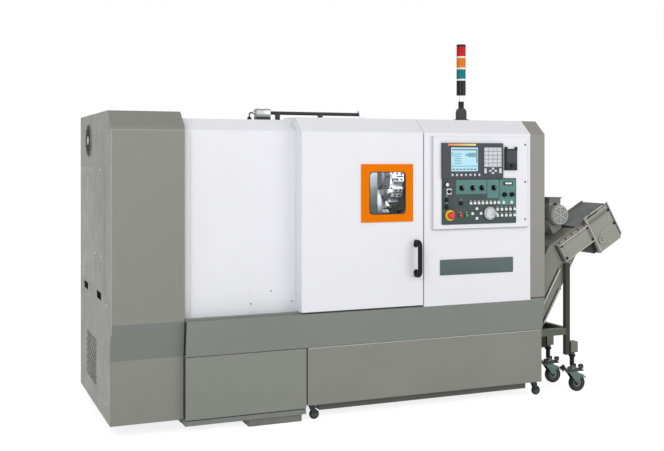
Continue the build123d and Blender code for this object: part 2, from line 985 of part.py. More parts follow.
# Bed casting: pedestal, slanted bed and two guide ways
headstock_bottom = spindle_height - headstock_drop
bed_line = [
    (y_at(bed_foot_from_front), bed_bottom),
    (y_at(bed_back), bed_bottom),
    (y_at(bed_back), on_slope(slope_high, 0)[1]),
    on_slope(slope_high, 0),
    on_slope(slope_low, 0),
    (on_slope(slope_low, 0)[0], on_slope(slope_low, 0)[1] - bed_nose_depth),
    (y_at(bed_foot_from_front), bed_foot_height),
]
with BuildPart() as bed:
    profile_x(bed_line, x_at(pedestal_right_from_left), x_at(bed_right_from_left))
    block(
        cabinet_right_x, x_at(pedestal_right_from_left),
        y_at(flange_depth), y_at(bed_back),
        bed_bottom, headstock_bottom,
    )
    block(
        panel_left_x, x_at(panel_right_from_left),
        y_at(bed_flange_set_back), y_at(bed_back),
        bed_bottom, bed_bottom + bed_flange_height,
    )
    block(
        x_at(pedestal_right_from_left), x_at(headstock_seat_right),
        on_slope(slope_low, 0)[0], y_at(bed_back),
        on_slope(slope_low, 0)[1], headstock_bottom,
    )
    for side in (-1, 1):
        slope_block(
            side * way_spread - way_width / 2, side * way_spread + way_width / 2,
            -sheet, way_height,
            x_at(way_left_from_left), x_at(bed_right_from_left),
        )
save(bed, "bed")

# Sole blocks under the bed
with BuildPart() as sole_blocks:
    for share_x, share_y in sole_places_shares:
        sole_x = share_x * sole_span_x
        sole_y = share_y * sole_span_y
        block(
            sole_x - sole_length / 2, sole_x + sole_length / 2,
            sole_y - sole_width / 2, sole_y + sole_width / 2,
            0, bed_bottom,
        )
save(sole_blocks, "sole_blocks")

# Headstock casting with the spindle's bore
headstock_line = [
    (spindle_y - headstock_half_width, headstock_bottom),
    (spindle_y + headstock_half_width, headstock_bottom),
    (spindle_y + headstock_half_width, spindle_height + headstock_rise - headstock_chamfer),
    (spindle_y + headstock_half_width - headstock_chamfer, spindle_height + headstock_rise),
    (spindle_y - headstock_half_width + headstock_chamfer, spindle_height + headstock_rise),
    (spindle_y - headstock_half_width, spindle_height + headstock_rise - headstock_chamfer),
]
with BuildPart() as headstock:
    profile_x(headstock_line, x_at(headstock_left), x_at(headstock_right))
    rod(
        (x_at(headstock_left) - overrun, spindle_y, spindle_height), (1, 0, 0),
        spindle_radius + running_gap, headstock_right - headstock_left + 2 * overrun, Mode.SUBTRACT,
    )
save(headstock, "headstock")

# Spindle: a bored shaft with a grooved pulley and a nose flange
spindle_axis = Axis((0, spindle_y, spindle_height), (1, 0, 0))
groove_pitch = (pulley_right - pulley_left) / pulley_groove_count
groove_line = []
for groove in range(pulley_groove_count):
    groove_x = x_at(pulley_left) + groove * groove_pitch
    groove_line.append((groove_x, spindle_height + pulley_radius))
    groove_line.append((groove_x + groove_pitch / 2, spindle_height + pulley_radius - pulley_groove))
groove_line.append((x_at(pulley_right), spindle_height + pulley_radius))
spindle_line = (
    [
        (x_at(spindle_left), spindle_height + spindle_bore),
        (x_at(spindle_left), spindle_height + spindle_radius),
        (x_at(pulley_left), spindle_height + spindle_radius),
    ]
    + groove_line
    + [
        (x_at(pulley_right), spindle_height + spindle_radius),
        (x_at(headstock_right) + sheet + seam, spindle_height + spindle_radius),
        (x_at(headstock_right) + sheet + seam, spindle_height + spindle_flange_radius),
        (x_at(chuck_left), spindle_height + spindle_flange_radius),
        (x_at(chuck_left), spindle_height + spindle_bore),
    ]
)
with BuildPart() as spindle:
    with BuildSketch(Plane.XZ.offset(-spindle_y)):
        with BuildLine():
            Polyline(*spindle_line, close=True)
        make_face()
    revolve(axis=spindle_axis)
save(spindle, "spindle")

# Chuck: a turned body with three radial slots
chuck_face_x = x_at(chuck_left + chuck_length)


def jaw_plane(turn):
    """Plane on the chuck's face with its x axis along a jaw."""
    return Plane(
        origin=(chuck_face_x, spindle_y, spindle_height),
        x_dir=(0, cos(radians(turn)), sin(radians(turn))),
        z_dir=(1, 0, 0),
    )


jaw_turns = [90 + jaw * 360 / jaw_count for jaw in range(jaw_count)]
chuck_line = [
    (x_at(chuck_left), spindle_height + chuck_bore),
    (x_at(chuck_left), spindle_height + chuck_radius),
    (chuck_face_x - chuck_edge, spindle_height + chuck_radius),
    (chuck_face_x, spindle_height + chuck_radius - chuck_edge),
    (chuck_face_x, spindle_height + chuck_bore),
]
with BuildPart() as chuck:
    with BuildSketch(Plane.XZ.offset(-spindle_y)):
        with BuildLine():
            Polyline(*chuck_line, close=True)
        make_face()
    revolve(axis=spindle_axis)
    for turn in jaw_turns:
        slot_inner = jaw_inner - 2 * jaw_travel
        with Locations(jaw_plane(turn) * Location(((slot_inner + chuck_radius) / 2, 0, -jaw_key_depth / 2))):
            Box(
                chuck_radius - slot_inner + overrun, jaw_key_width + 2 * slide_gap,
                jaw_key_depth + 2 * slide_gap, mode=Mode.SUBTRACT,
            )
save(chuck, "chuck")

# Jaws: stepped blocks with a key in the chuck's slot
for jaw, turn in enumerate(jaw_turns):
    with BuildPart(jaw_plane(turn)) as jaw_block:
        with Locations(((jaw_inner + jaw_outer) / 2, 0, slide_gap + jaw_step_height / 2)):
            Box(jaw_outer - jaw_inner, jaw_width, jaw_step_height)
        with Locations(((jaw_inner + jaw_step + jaw_outer) / 2, 0, slide_gap + jaw_height / 2)):
            Box(jaw_outer - jaw_inner - jaw_step, jaw_width, jaw_height)
        with Locations(((jaw_inner + jaw_outer) / 2, 0, (slide_gap - jaw_key_depth) / 2)):
            Box(jaw_outer - jaw_inner, jaw_key_width, jaw_key_depth + slide_gap)
    save(jaw_block, "jaw_" + str(jaw + 1))

# Splash wall between the headstock and the work area
splash_line = [
    (y_at(splash_front), splash_bottom),
    (on_slope(slope_low, 0)[0] - splash_clearance, splash_bottom),
    on_slope(slope_low, splash_clearance),
    on_slope(slope_high, splash_clearance),
    (y_at(bed_back), on_slope(slope_high, splash_clearance)[1]),
    (y_at(bed_back), splash_top),
    (y_at(splash_front + splash_corner), splash_top),
    (y_at(splash_front), splash_top - splash_corner),
]
with BuildPart() as splash_wall:
    profile_x(splash_line, x_at(headstock_right), x_at(headstock_right) + sheet)
    rod(
        (x_at(headstock_right) - overrun, spindle_y, spindle_height), (1, 0, 0),
        splash_hole, sheet + 2 * overrun, Mode.SUBTRACT,
    )
save(splash_wall, "splash_wall")

# Saddle: guide blocks that straddle the ways, a plate and the cross way
saddle_x0 = x_at(saddle_left)
saddle_x1 = saddle_x0 + saddle_length
saddle_mid_x = (saddle_x0 + saddle_x1) / 2
with BuildPart() as saddle:
    slope_block(saddle_low, saddle_high, saddle_bottom, saddle_top, saddle_x0, saddle_x1)
    for side in (-1, 1):
        slope_block(
            side * way_spread - guide_block, side * way_spread + guide_block,
            guide_skirt, saddle_bottom, saddle_x0, saddle_x1,
        )
    for side in (-1, 1):
        slope_block(
            side * way_spread - way_width / 2 - slide_gap, side * way_spread + way_width / 2 + slide_gap,
            0, way_height + slide_gap, saddle_x0 - overrun, saddle_x1 + overrun, Mode.SUBTRACT,
        )
    slope_block(
        saddle_low, saddle_high, saddle_top, cross_way_top,
        saddle_mid_x - cross_way_half_width, saddle_mid_x + cross_way_half_width,
    )
save(saddle, "saddle")

# Cross slide: straddles the cross way and holds the turret's housing
turret_y, turret_z = on_slope(turret_reach, way_offset)
cross_low = turret_reach - cross_half_length
cross_high = turret_reach + cross_half_length
cross_line = [
    on_slope(cross_low, saddle_top + slide_gap),
    on_slope(cross_high, saddle_top + slide_gap),
    on_slope(cross_high, cross_top - cross_edge),
    on_slope(cross_high - cross_edge, cross_top),
    on_slope(cross_low + cross_edge, cross_top),
    on_slope(cross_low, cross_top - cross_edge),
]
turret_back_x = x_at(turret_left + turret_thickness)
with BuildPart() as cross_slide:
    profile_x(cross_line, saddle_x0, saddle_x1 - cross_cover)
    slope_block(
        cross_low - overrun, cross_high + overrun, saddle_top - overrun, cross_way_top + slide_gap,
        saddle_mid_x - cross_way_half_width - slide_gap, saddle_mid_x + cross_way_half_width + slide_gap,
        Mode.SUBTRACT,
    )
    rod(
        (turret_back_x + seam, turret_y, turret_z), (1, 0, 0),
        collar_radius, saddle_x0 - turret_back_x - seam + sheet,
    )
    rod(
        (turret_back_x - overrun, turret_y, turret_z), (1, 0, 0),
        turret_shaft_radius + running_gap, turret_shaft_length + 2 * overrun, Mode.SUBTRACT,
    )
save(cross_slide, "cross_slide")

# Turret: a twelve-sided disc with alternating turning and boring holders
turret_x = x_at(turret_left)
with BuildPart() as turret:
    with BuildSketch(Plane(origin=(turret_x, turret_y, turret_z), x_dir=(0, 1, 0), z_dir=(1, 0, 0))):
        RegularPolygon(
            turret_flat_radius, turret_stations, major_radius=False, rotation=180 / turret_stations,
        )
    extrude(amount=turret_thickness)
    rod((turret_x, turret_y, turret_z), (-1, 0, 0), turret_cap_radius, turret_cap_height)
    rod((turret_back_x, turret_y, turret_z), (1, 0, 0), turret_shaft_radius, turret_shaft_length)
    for station in range(turret_stations):
        turn = station * 360 / turret_stations
        seat = Plane(
            origin=(
                turret_x + turret_thickness / 2,
                turret_y + turret_flat_radius * cos(radians(turn)),
                turret_z + turret_flat_radius * sin(radians(turn)),
            ),
            x_dir=(1, 0, 0),
            z_dir=(0, cos(radians(turn)), sin(radians(turn))),
        )
        with Locations(seat * Location((0, 0, holder_height / 2))):
            Box(holder_length, holder_width, holder_height)
        if station % 2 == 0:
            with Locations(seat * Location((-holder_length / 2, 0, holder_height))):
                Box(shank_size, shank_size, 2 * shank_reach)
        else:
            with Locations(seat * Location((-holder_length / 2, 0, holder_height / 2), (0, -90, 0))):
                Cylinder(bar_radius, bar_reach, align=(Align.CENTER, Align.CENTER, Align.MIN))
save(turret, "turret")

# Control box on the right panel, open behind the operator panel
with BuildPart() as control_box:
    block(box_x, box_x + box_width, box_face_y, front_y, box_bottom, box_top)
    fillet(control_box.faces().sort_by(Axis.Y)[0].edges(), box_edge)
    block(*pocket_limits, mode=Mode.SUBTRACT)
save(control_box, "control_box")

# Control unit with its screen recess
screen_x = unit_x + screen_from_edge
screen_bottom = unit_bottom + screen_rise
with BuildPart() as control_unit:
    block(unit_x, unit_x + unit_width, unit_face_y, box_face_y, unit_bottom, unit_bottom + unit_tall)
    block(
        screen_x, screen_x + screen_width,
        unit_face_y - overrun, unit_face_y + screen_recess, screen_bottom, screen_bottom + screen_tall,
        mode=Mode.SUBTRACT,
    )
save(control_unit, "control_unit")

# Keypad: a plate with a field of keys, a cursor cross and two corner keys; round soft keys under the screen
keypad_x = unit_x + keypad_from_edge
keypad_bottom = unit_bottom + keypad_rise
keypad_top = keypad_bottom + keypad_tall
keypad_face_y = unit_face_y - keypad_plate
key_field_width = keypad_width - 2 * key_margin
key_pitch_x = key_field_width / key_columns
key_pitch_z = key_field_tall / key_rows
cursor_z = (keypad_bottom + keypad_top - key_margin - key_field_tall) / 2
corner_reach = (key_field_width - cursor_width) / 2


def key(from_middle, height, width, tall):
    """A key on the keypad's plate."""
    key_x = keypad_x + keypad_width / 2 + from_middle
    block(
        key_x - width / 2, key_x + width / 2,
        keypad_face_y - key_height, keypad_face_y, height - tall / 2, height + tall / 2,
    )


with BuildPart() as keypad:
    block(keypad_x, keypad_x + keypad_width, keypad_face_y, unit_face_y, keypad_bottom, keypad_top)
    for row in range(key_rows):
        key_z = keypad_top - key_margin - (row + 1 / 2) * key_pitch_z
        for column in range(key_columns):
            from_middle = (column - (key_columns - 1) / 2) * key_pitch_x
            key(from_middle, key_z, key_pitch_x - key_gap, key_pitch_z - key_gap)
    for side in (-1, 1):
        key(side * (cursor_width + cursor_gap), cursor_z, cursor_width, cursor_tall)
        key(0, cursor_z + side * (cursor_tall + cursor_gap), cursor_width, cursor_tall)
        key(side * corner_reach, cursor_z, cursor_width, corner_key_tall)
    for soft_key in range(soft_key_count):
        soft_x = unit_x + soft_key_from_edge + soft_key * soft_key_pitch
        rod((soft_x, unit_face_y, unit_bottom + soft_key_rise), (0, -1, 0), soft_key_radius, key_height)
save(keypad, "keypad")


def on_panel(from_edge, rise, proud=0):
    """A place on the operator panel's face, or in front of it."""
    return (operator_x + from_edge, operator_face_y - proud, operator_bottom + rise)


def cap(from_edge, rise, width=cap_size, tall=cap_size):
    """A key cap on the operator panel."""
    cap_x, cap_y, cap_z = on_panel(from_edge, rise)
    block(cap_x - width / 2, cap_x + width / 2, cap_y - cap_height, cap_y, cap_z - tall / 2, cap_z + tall / 2)


def panel_hole(from_edge, rise, radius):
    """A round hole through the operator panel."""
    rod(
        on_panel(from_edge, rise, overrun), (0, 1, 0),
        radius + running_gap, operator_plate + 2 * overrun, Mode.SUBTRACT,
    )


# Operator panel: key caps, jog cross, meter window, small fixed controls and holes for the moving ones
with BuildPart() as operator_panel:
    block(operator_x, operator_right_x, operator_face_y, box_face_y, operator_bottom, operator_top)
    for column in range(cap_row_count):
        cap(cap_row_from_edge + column * cap_row_pitch, cap_row_rise)
    for column in range(2):
        cap(cap_pair_from_edge + column * cap_pair_pitch, cap_row_rise)
    for row in range(cap_block_rows):
        for column in range(cap_block_columns):
            cap(cap_block_from_edge + column * cap_block_pitch_x, cap_block_rise + row * cap_block_pitch_z)
    for side_x, side_z in ((-1, 0), (1, 0), (0, -1), (0, 1)):
        cap(jog_from_edge + side_x * jog_reach, jog_rise + side_z * jog_reach)
    cap(meter_from_edge, meter_rise, meter_width, meter_tall)
    for column in range(2):
        selector = on_panel(selector_from_edge + column * selector_pitch, selector_rise)
        rod(selector, (0, -1, 0), selector_radius, selector_depth)
    for share_x, share_z in small_control_shares:
        small_control = on_panel(share_x * operator_width, share_z * operator_tall)
        rod(small_control, (0, -1, 0), small_control_radius, small_control_depth)
    for knob_share in knob_shares.values():
        panel_hole(knob_share * operator_width, knob_rise, shaft_radius)
    for button_share in button_shares.values():
        panel_hole(button_share * operator_width, button_rise, button_radius)
    panel_hole(stop_from_edge, stop_rise, stop_stem_radius)
    panel_hole(handwheel_from_edge, handwheel_rise, shaft_radius)
    panel_hole(key_from_edge, key_rise, shaft_radius)
save(operator_panel, "operator_panel")

# Rotary knobs: a skirt with a raised grip on a shaft
for knob_name, knob_share in knob_shares.items():
    knob_x, knob_y, knob_z = on_panel(knob_share * operator_width, knob_rise, slide_gap)
    with BuildPart() as knob:
        rod((knob_x, knob_y, knob_z), (0, -1, 0), knob_radius, knob_depth)
        rod((knob_x, knob_y, knob_z), (0, 1, 0), shaft_radius, shaft_length)
        block(
            knob_x - knob_grip_width / 2, knob_x + knob_grip_width / 2,
            knob_y - knob_depth - knob_grip_depth, knob_y - knob_depth,
            knob_z - knob_radius, knob_z + knob_radius,
        )
    save(knob, knob_name)

# Emergency stop: a turned mushroom head on a stem
stop_x, stop_y, stop_z = on_panel(stop_from_edge, stop_rise, stop_stand_off)
stop_line = (
    [(stop_y + stop_stand_off + shaft_length, stop_z)]
    + [(stop_y + stop_stand_off + shaft_length, stop_z + stop_stem_radius)]
    + [(stop_y, stop_z + stop_stem_radius), (stop_y, stop_z + stop_radius)]
    + [(stop_y - depth * stop_depth, stop_z + wide * stop_radius) for wide, depth in stop_dome_shares]
    + [(stop_y - stop_depth, stop_z)]
)
with BuildPart() as emergency_stop:
    with BuildSketch(Plane.YZ.offset(stop_x)):
        with BuildLine():
            Polyline(*stop_line, close=True)
        make_face()
    revolve(axis=Axis((stop_x, 0, stop_z), (0, 1, 0)))
save(emergency_stop, "emergency_stop")

# Push buttons
for button_name, button_share in button_shares.items():
    with BuildPart() as button:
        rod(
            on_panel(button_share * operator_width, button_rise, button_stand_off), (0, 1, 0),
            button_radius, button_stand_off + button_stem,
        )
        chamfer(button.faces().sort_by(Axis.Y)[0].edges(), button_edge)
    save(button, button_name)

# Handwheel: a dished disc with a finger grip on a shaft
wheel_x, wheel_y, wheel_z = on_panel(handwheel_from_edge, handwheel_rise, slide_gap)
with BuildPart() as handwheel:
    rod((wheel_x, wheel_y, wheel_z), (0, -1, 0), handwheel_radius, handwheel_depth)
    chamfer(handwheel.faces().sort_by(Axis.Y)[0].edges(), handwheel_edge)
    rod(
        (wheel_x, wheel_y - handwheel_depth - overrun, wheel_z), (0, 1, 0),
        handwheel_dish, overrun + handwheel_edge, Mode.SUBTRACT,
    )
    rod((wheel_x, wheel_y, wheel_z), (0, 1, 0), shaft_radius, shaft_length)
    rod(
        (wheel_x + handwheel_grip_offset, wheel_y - handwheel_depth / 2, wheel_z), (0, -1, 0),
        handwheel_grip_radius, handwheel_depth / 2 + handwheel_grip_depth,
    )
save(handwheel, "handwheel")

# Key switch: a turning barrel with the key's bow
key_x, key_y, key_z = on_panel(key_from_edge, key_rise, slide_gap)
with BuildPart() as key_switch:
    rod((key_x, key_y, key_z), (0, -1, 0), key_barrel_radius, key_barrel_depth)
    rod((key_x, key_y, key_z), (0, 1, 0), shaft_radius, shaft_length)
    block(
        key_x - key_bow_width / 2, key_x + key_bow_width / 2,
        key_y - key_barrel_depth - key_bow_depth, key_y - key_barrel_depth,
        key_z - key_bow_height / 2, key_z + key_bow_height / 2,
    )
save(key_switch, "key_switch")

# Card slot cover: hinged along its left edge
card_x = box_x + card_from_edge
card_bottom = box_bottom + card_rise
with BuildPart() as card_cover:
    block(
        card_x, card_x + card_width,
        box_face_y - slide_gap - card_depth, box_face_y - slide_gap,
        card_bottom, card_bottom + card_tall,
    )
    chamfer(card_cover.faces().sort_by(Axis.Y)[0].edges(), card_edge)
save(card_cover, "card_cover")

# Signal tower: a turned stand on a shouldered bracket and a foot plate, and three lens rings
tower_x = x_at(tower_from_left)
tower_y = y_at(tower_from_front)
tower_foot_top = roof_height + tower_foot_thickness
tower_bracket_top = tower_foot_top + tower_bracket_height
tower_shoulder_z = tower_bracket_top - tower_shoulder_height
tower_neck_top = tower_bracket_top + tower_neck_height
tower_base_bottom = tower_neck_top + tower_pole_height
tower_base_top = tower_base_bottom + tower_base_height
tower_pitch = tower_ring_height + tower_lens_height
tower_cap_bottom = tower_base_top + len(tower_names) * tower_pitch
tower_line = [
    (tower_x, tower_bracket_top),
    (tower_x + tower_neck_radius, tower_bracket_top),
    (tower_x + tower_neck_radius, tower_neck_top),
    (tower_x + tower_pole_radius, tower_neck_top),
    (tower_x + tower_pole_radius, tower_base_bottom),
    (tower_x + tower_radius, tower_base_bottom),
    (tower_x + tower_radius, tower_base_top),
    (tower_x + tower_core_radius, tower_base_top),
    (tower_x + tower_core_radius, tower_cap_bottom),
    (tower_x + tower_radius, tower_cap_bottom),
    (tower_x + tower_radius, tower_cap_bottom + tower_cap_height),
    (tower_x, tower_cap_bottom + tower_cap_height),
]
bracket_line = [
    (tower_x - tower_bracket_width / 2, tower_foot_top),
    (tower_x + tower_bracket_width / 2, tower_foot_top),
    (tower_x + tower_bracket_width / 2, tower_shoulder_z),
    (tower_x + tower_neck_radius, tower_bracket_top),
    (tower_x - tower_neck_radius, tower_bracket_top),
    (tower_x - tower_bracket_width / 2, tower_shoulder_z),
]
with BuildPart() as tower_stand:
    with BuildSketch(Plane.XZ.offset(-tower_y)):
        with BuildLine():
            Polyline(*tower_line, close=True)
        make_face()
    revolve(axis=Axis((tower_x, tower_y, 0), (0, 0, 1)))
    for level in range(len(tower_names)):
        ring_z = tower_base_top + level * tower_pitch
        rod((tower_x, tower_y, ring_z), (0, 0, 1), tower_radius, tower_ring_height)
    profile_y(bracket_line, tower_y - tower_bracket_depth / 2, tower_y + tower_bracket_depth / 2)
    block(
        tower_x - tower_foot_x / 2, tower_x + tower_foot_x / 2,
        tower_y - tower_foot_y / 2, tower_y + tower_foot_y / 2,
        roof_height, tower_foot_top,
    )
save(tower_stand, "tower_stand")

for level, lens_name in enumerate(tower_names):
    lens_z = tower_base_top + tower_ring_height + level * tower_pitch
    with BuildPart() as lens:
        rod((tower_x, tower_y, lens_z), (0, 0, 1), tower_radius, tower_lens_height)
        rod(
            (tower_x, tower_y, lens_z - overrun), (0, 0, 1),
            tower_core_radius, tower_lens_height + 2 * overrun, Mode.SUBTRACT,
        )
    save(lens, lens_name)

# Coolant tank: an open pan sealed under the apron, on a beam, a skid and two casters
tank_x0 = x_at(tank_from_left)
tank_x1 = x_at(tank_right_from_left)
tank_front_y = y_at(band_lean)
with BuildPart() as coolant_tank:
    block(tank_x0, tank_x1, tank_front_y, y_at(tank_back), tank_bottom, tank_top)
    block(
        tank_x0 + sheet, tank_x1 - sheet, tank_front_y + sheet, y_at(tank_back) - sheet,
        tank_bottom + sheet, tank_top + overrun,
        mode=Mode.SUBTRACT,
    )
    block(
        tank_x1 - sheet - overrun, tank_x1 + overrun,
        y_at(conveyor_front - conveyor_cut_margin), y_at(conveyor_front + conveyor_width + conveyor_cut_margin),
        (tank_bottom + tank_top) / 2, tank_top + overrun,
        mode=Mode.SUBTRACT,
    )
    block(tank_x0, tank_x1, tank_front_y, tank_front_y + tank_lip, tank_top - sheet, tank_top)
    block(
        tank_x0, x_at(run_opening_right) - overrun,
        tank_front_y + seal_set_back, tank_front_y + seal_set_back + seal_width,
        tank_top, band_bottom,
    )
    block(
        tank_x0 + beam_inset, tank_x1 - beam_inset,
        y_at(beam_from_front), y_at(beam_from_front + beam_width),
        tank_bottom - beam_drop, tank_bottom,
    )
    block(
        tank_x0 + beam_inset, tank_x1 - beam_inset,
        y_at(skid_from_front), y_at(skid_from_front + skid_width),
        0, tank_bottom,
    )
save(coolant_tank, "coolant_tank")

# Conveyor frame: places along the tilted head and square to it
bend_x = x_at(bend_from_left)


def on_head(along, across):
    """(x, z) of a place given along the conveyor's head and square to it."""
    return (
        bend_x + along * cos(radians(head_tilt)) - across * sin(radians(head_tilt)),
        bend_height + along * sin(radians(head_tilt)) + across * cos(radians(head_tilt)),
    )


incline_x, incline_z = on_head(-bend_back, 0)


def on_incline_at(across, height):
    """(x, z) on a line parallel to the incline, at a height."""
    line_x = incline_x - across * sin(radians(incline))
    line_z = incline_z + across * cos(radians(incline))
    return (line_x + (height - line_z) * cos(radians(incline)) / sin(radians(incline)), height)


def bend_corner(across_incline, across_head):
    """(x, z) where a line of the incline meets a line of the head."""
    line_x, line_z = on_incline_at(across_incline, bend_height)
    head_x, head_z = on_head(0, across_head)
    rise_incline = sin(radians(incline)) / cos(radians(incline))
    rise_head = sin(radians(head_tilt)) / cos(radians(head_tilt))
    meet_x = (head_z - line_z + rise_incline * line_x - rise_head * head_x) / (rise_incline - rise_head)
    return (meet_x, head_z + rise_head * (meet_x - head_x))


run_bottom = tank_bottom + sheet
low_bend = bend_corner(-incline_below, -bend_below)
high_bend = bend_corner(incline_above, bend_above)
trough_line = [
    (x_at(run_left), run_bottom),
    on_incline_at(-incline_below, run_bottom),
    low_bend,
    on_head(head_start + sheet, -bend_below),
    on_head(head_start + sheet, bend_above),
    high_bend,
    on_incline_at(incline_above, run_top),
    (x_at(run_left), run_top),
]
conveyor_y0 = y_at(conveyor_front)
conveyor_y1 = conveyor_y0 + conveyor_width
head_y0 = conveyor_y0 - head_overhang
head_y1 = conveyor_y1 + head_overhang
head_line = [
    on_head(head_start, head_low),
    on_head(head_end - head_corner, head_low),
    on_head(head_end, head_low + head_corner),
    on_head(head_end, head_high),
    on_head(head_start, head_high),
]
head_hollow = [
    on_head(head_start + sheet, head_low + sheet),
    on_head(head_end - sheet, head_low + sheet),
    on_head(head_end - sheet, head_high - sheet),
    on_head(head_start + sheet, head_high - sheet),
]
mouth_line = [
    on_head(head_start + mouth_margin, head_low - overrun),
    on_head(head_end - mouth_margin, head_low - overrun),
    on_head(head_end - mouth_margin, head_low + overrun),
    on_head(head_start + mouth_margin, head_low + overrun),
]
passage_line = [
    on_head(head_start - overrun, -bend_below + sheet),
    on_head(head_start + 2 * overrun, -bend_below + sheet),
    on_head(head_start + 2 * overrun, bend_above - sheet),
    on_head(head_start - overrun, bend_above - sheet),
]
drum_x, drum_z = on_head(drum_along, drum_across)
cover_line = [
    on_head(-side_cover_half_length, -side_cover_half_height),
    on_head(side_cover_half_length, -side_cover_half_height),
    on_head(side_cover_half_length, side_cover_half_height),
    on_head(-side_cover_half_length, side_cover_half_height),
]
plate_line = [
    on_head(head_start, head_high - sheet),
    on_head(head_end, head_high - sheet),
    on_head(head_end, head_high + head_plate_rise),
    on_head(head_start, head_high + head_plate_rise),
]
rail_lines = []
for rail_across, rail_top in ((low_rail_across, low_rail_top), (high_rail_across, high_rail_top)):
    low_edge = rail_across - rail_strip_width / 2
    high_edge = rail_across + rail_strip_width / 2
    rail_lines.append(
        [
            on_incline_at(low_edge, rail_strip_bottom),
            on_incline_at(low_edge, rail_top),
            on_incline_at(high_edge, rail_top),
            on_incline_at(high_edge, rail_strip_bottom),
        ]
    )
with BuildPart() as conveyor_case:
    with BuildSketch(Plane.XZ.offset(-conveyor_y0)) as trough_face:
        with BuildLine():
            Polyline(*trough_line, close=True)
        make_face()
        for bend in (low_bend, high_bend):
            corner = Vertex(bend[0], conveyor_y0, bend[1])
            fillet(trough_face.vertices().sort_by_distance(corner)[0], bend_radius)
    extrude(amount=-conveyor_width)
    with BuildSketch(Plane.XZ.offset(-conveyor_y0 - sheet)) as trough_hollow:
        add(trough_face.sketch_local)
        offset(amount=-sheet, kind=Kind.INTERSECTION, mode=Mode.REPLACE)
    extrude(amount=2 * sheet - conveyor_width, mode=Mode.SUBTRACT)
    profile_y(head_line, head_y0, head_y1)
    profile_y(head_hollow, head_y0 + sheet, head_y1 - sheet, Mode.SUBTRACT)
    profile_y(passage_line, conveyor_y0 + sheet, conveyor_y1 - sheet, Mode.SUBTRACT)
    profile_y(mouth_line, head_y0 + mouth_margin, head_y1 - mouth_margin, Mode.SUBTRACT)
    block(
        x_at(run_left + run_opening_margin), x_at(run_opening_right),
        conveyor_y0 + run_opening_margin, conveyor_y1 - run_opening_margin,
        run_top - overrun, run_top + overrun,
        mode=Mode.SUBTRACT,
    )
    profile_y(cover_line, conveyor_y0 - side_cover_depth, conveyor_y0)
    for plate_y in (head_y0, head_y1 - sheet):
        profile_y(plate_line, plate_y, plate_y + sheet)
    for rail_line in rail_lines:
        profile_y(rail_line, conveyor_y0 - rail_strip_proud, conveyor_y0)
        profile_y(rail_line, conveyor_y1, conveyor_y1 + rail_strip_proud)
    for plate_y, outward in ((head_y0, -1), (head_y1, 1)):
        rod((drum_x, plate_y, drum_z), (0, outward, 0), bearing_radius, bearing_depth)
    rod(
        (drum_x, head_y0 - bearing_depth - overrun, drum_z), (0, 1, 0),
        drum_shaft_radius + running_gap, head_y1 - head_y0 + 2 * bearing_depth + 2 * overrun, Mode.SUBTRACT,
    )
save(conveyor_case, "conveyor_case")

# Head drum: a cleated roller on a shaft through both bearings
drum_y0 = head_y0 + sheet + drum_clearance
drum_y1 = head_y1 - sheet - drum_clearance
with BuildPart() as head_drum:
    rod((drum_x, drum_y0, drum_z), (0, 1, 0), drum_radius, drum_y1 - drum_y0)
    rod(
        (drum_x, head_y0 - bearing_depth - sheet, drum_z), (0, 1, 0),
        drum_shaft_radius, head_y1 - head_y0 + 2 * bearing_depth + 2 * sheet,
    )
    for cleat in range(drum_cleats):
        turn = cleat * 360 / drum_cleats
        reach = drum_radius + cleat_height / 2 - sheet / 2
        seat = Plane(
            origin=(
                drum_x + reach * cos(radians(turn)),
                (drum_y0 + drum_y1) / 2,
                drum_z + reach * sin(radians(turn)),
            ),
            x_dir=(0, 1, 0),
            z_dir=(cos(radians(turn)), 0, sin(radians(turn))),
        )
        with Locations(seat):
            Box(drum_y1 - drum_y0, cleat_width, cleat_height + sheet)
save(head_drum, "head_drum")

# Hood: the lid between the head's side plates
hood_line = [
    on_head(hood_start, head_high),
    on_head(hood_end, head_high),
    on_head(hood_end, head_high + hood_thickness),
    on_head(hood_start, head_high + hood_thickness),
]
with BuildPart() as conveyor_hood:
    profile_y(hood_line, head_y0 + sheet, head_y1 - sheet)
save(conveyor_hood, "conveyor_hood")

# Geared motor across the conveyor, with fan cover, fins, terminal box and foot
motor_x, motor_z = on_head(motor_along, motor_across)
motor_y0 = y_at(motor_front)
motor_y1 = motor_y0 + motor_length
foot_line = [
    on_head(motor_foot_start, bend_above),
    on_head(motor_foot_end, bend_above),
    on_head(motor_foot_end, motor_across),
    on_head(motor_foot_start, motor_across),
]
with BuildPart() as conveyor_motor:
    rod((motor_x, motor_y0 - fan_cover_length, motor_z), (0, 1, 0), fan_cover_radius, fan_cover_length)
    chamfer(conveyor_motor.faces().sort_by(Axis.Y)[0].edges(), fan_cover_edge)
    with Locations(Plane(origin=(motor_x, motor_y0 - fan_cover_length, motor_z), z_dir=(0, -1, 0))):
        with PolarLocations(fan_cover_vent_circle, fan_cover_vents):
            Cylinder(fan_cover_vent_radius, 2 * fan_cover_vent_depth, mode=Mode.SUBTRACT)
    rod((motor_x, motor_y0, motor_z), (0, 1, 0), motor_radius, motor_length)
    with Locations(Plane(origin=(motor_x, (motor_y0 + motor_y1) / 2, motor_z), z_dir=(0, 1, 0))):
        with PolarLocations(motor_radius, motor_fins):
            Box(2 * fin_height, fin_width, motor_length - 2 * fin_margin)
    profile_y(foot_line, motor_y0 + fin_margin, motor_y1 - fin_margin)
    block(
        motor_x - terminal_width / 2, motor_x + terminal_width / 2,
        motor_y0 + fin_margin, motor_y0 + fin_margin + terminal_depth,
        motor_z, motor_z + motor_radius + terminal_height,
    )
    block(
        motor_x - gearbox_size / 2, motor_x + gearbox_size / 2,
        motor_y1, motor_y1 + gearbox_length,
        motor_z - gearbox_size / 2, motor_z + gearbox_size / 2,
    )
save(conveyor_motor, "conveyor_motor")

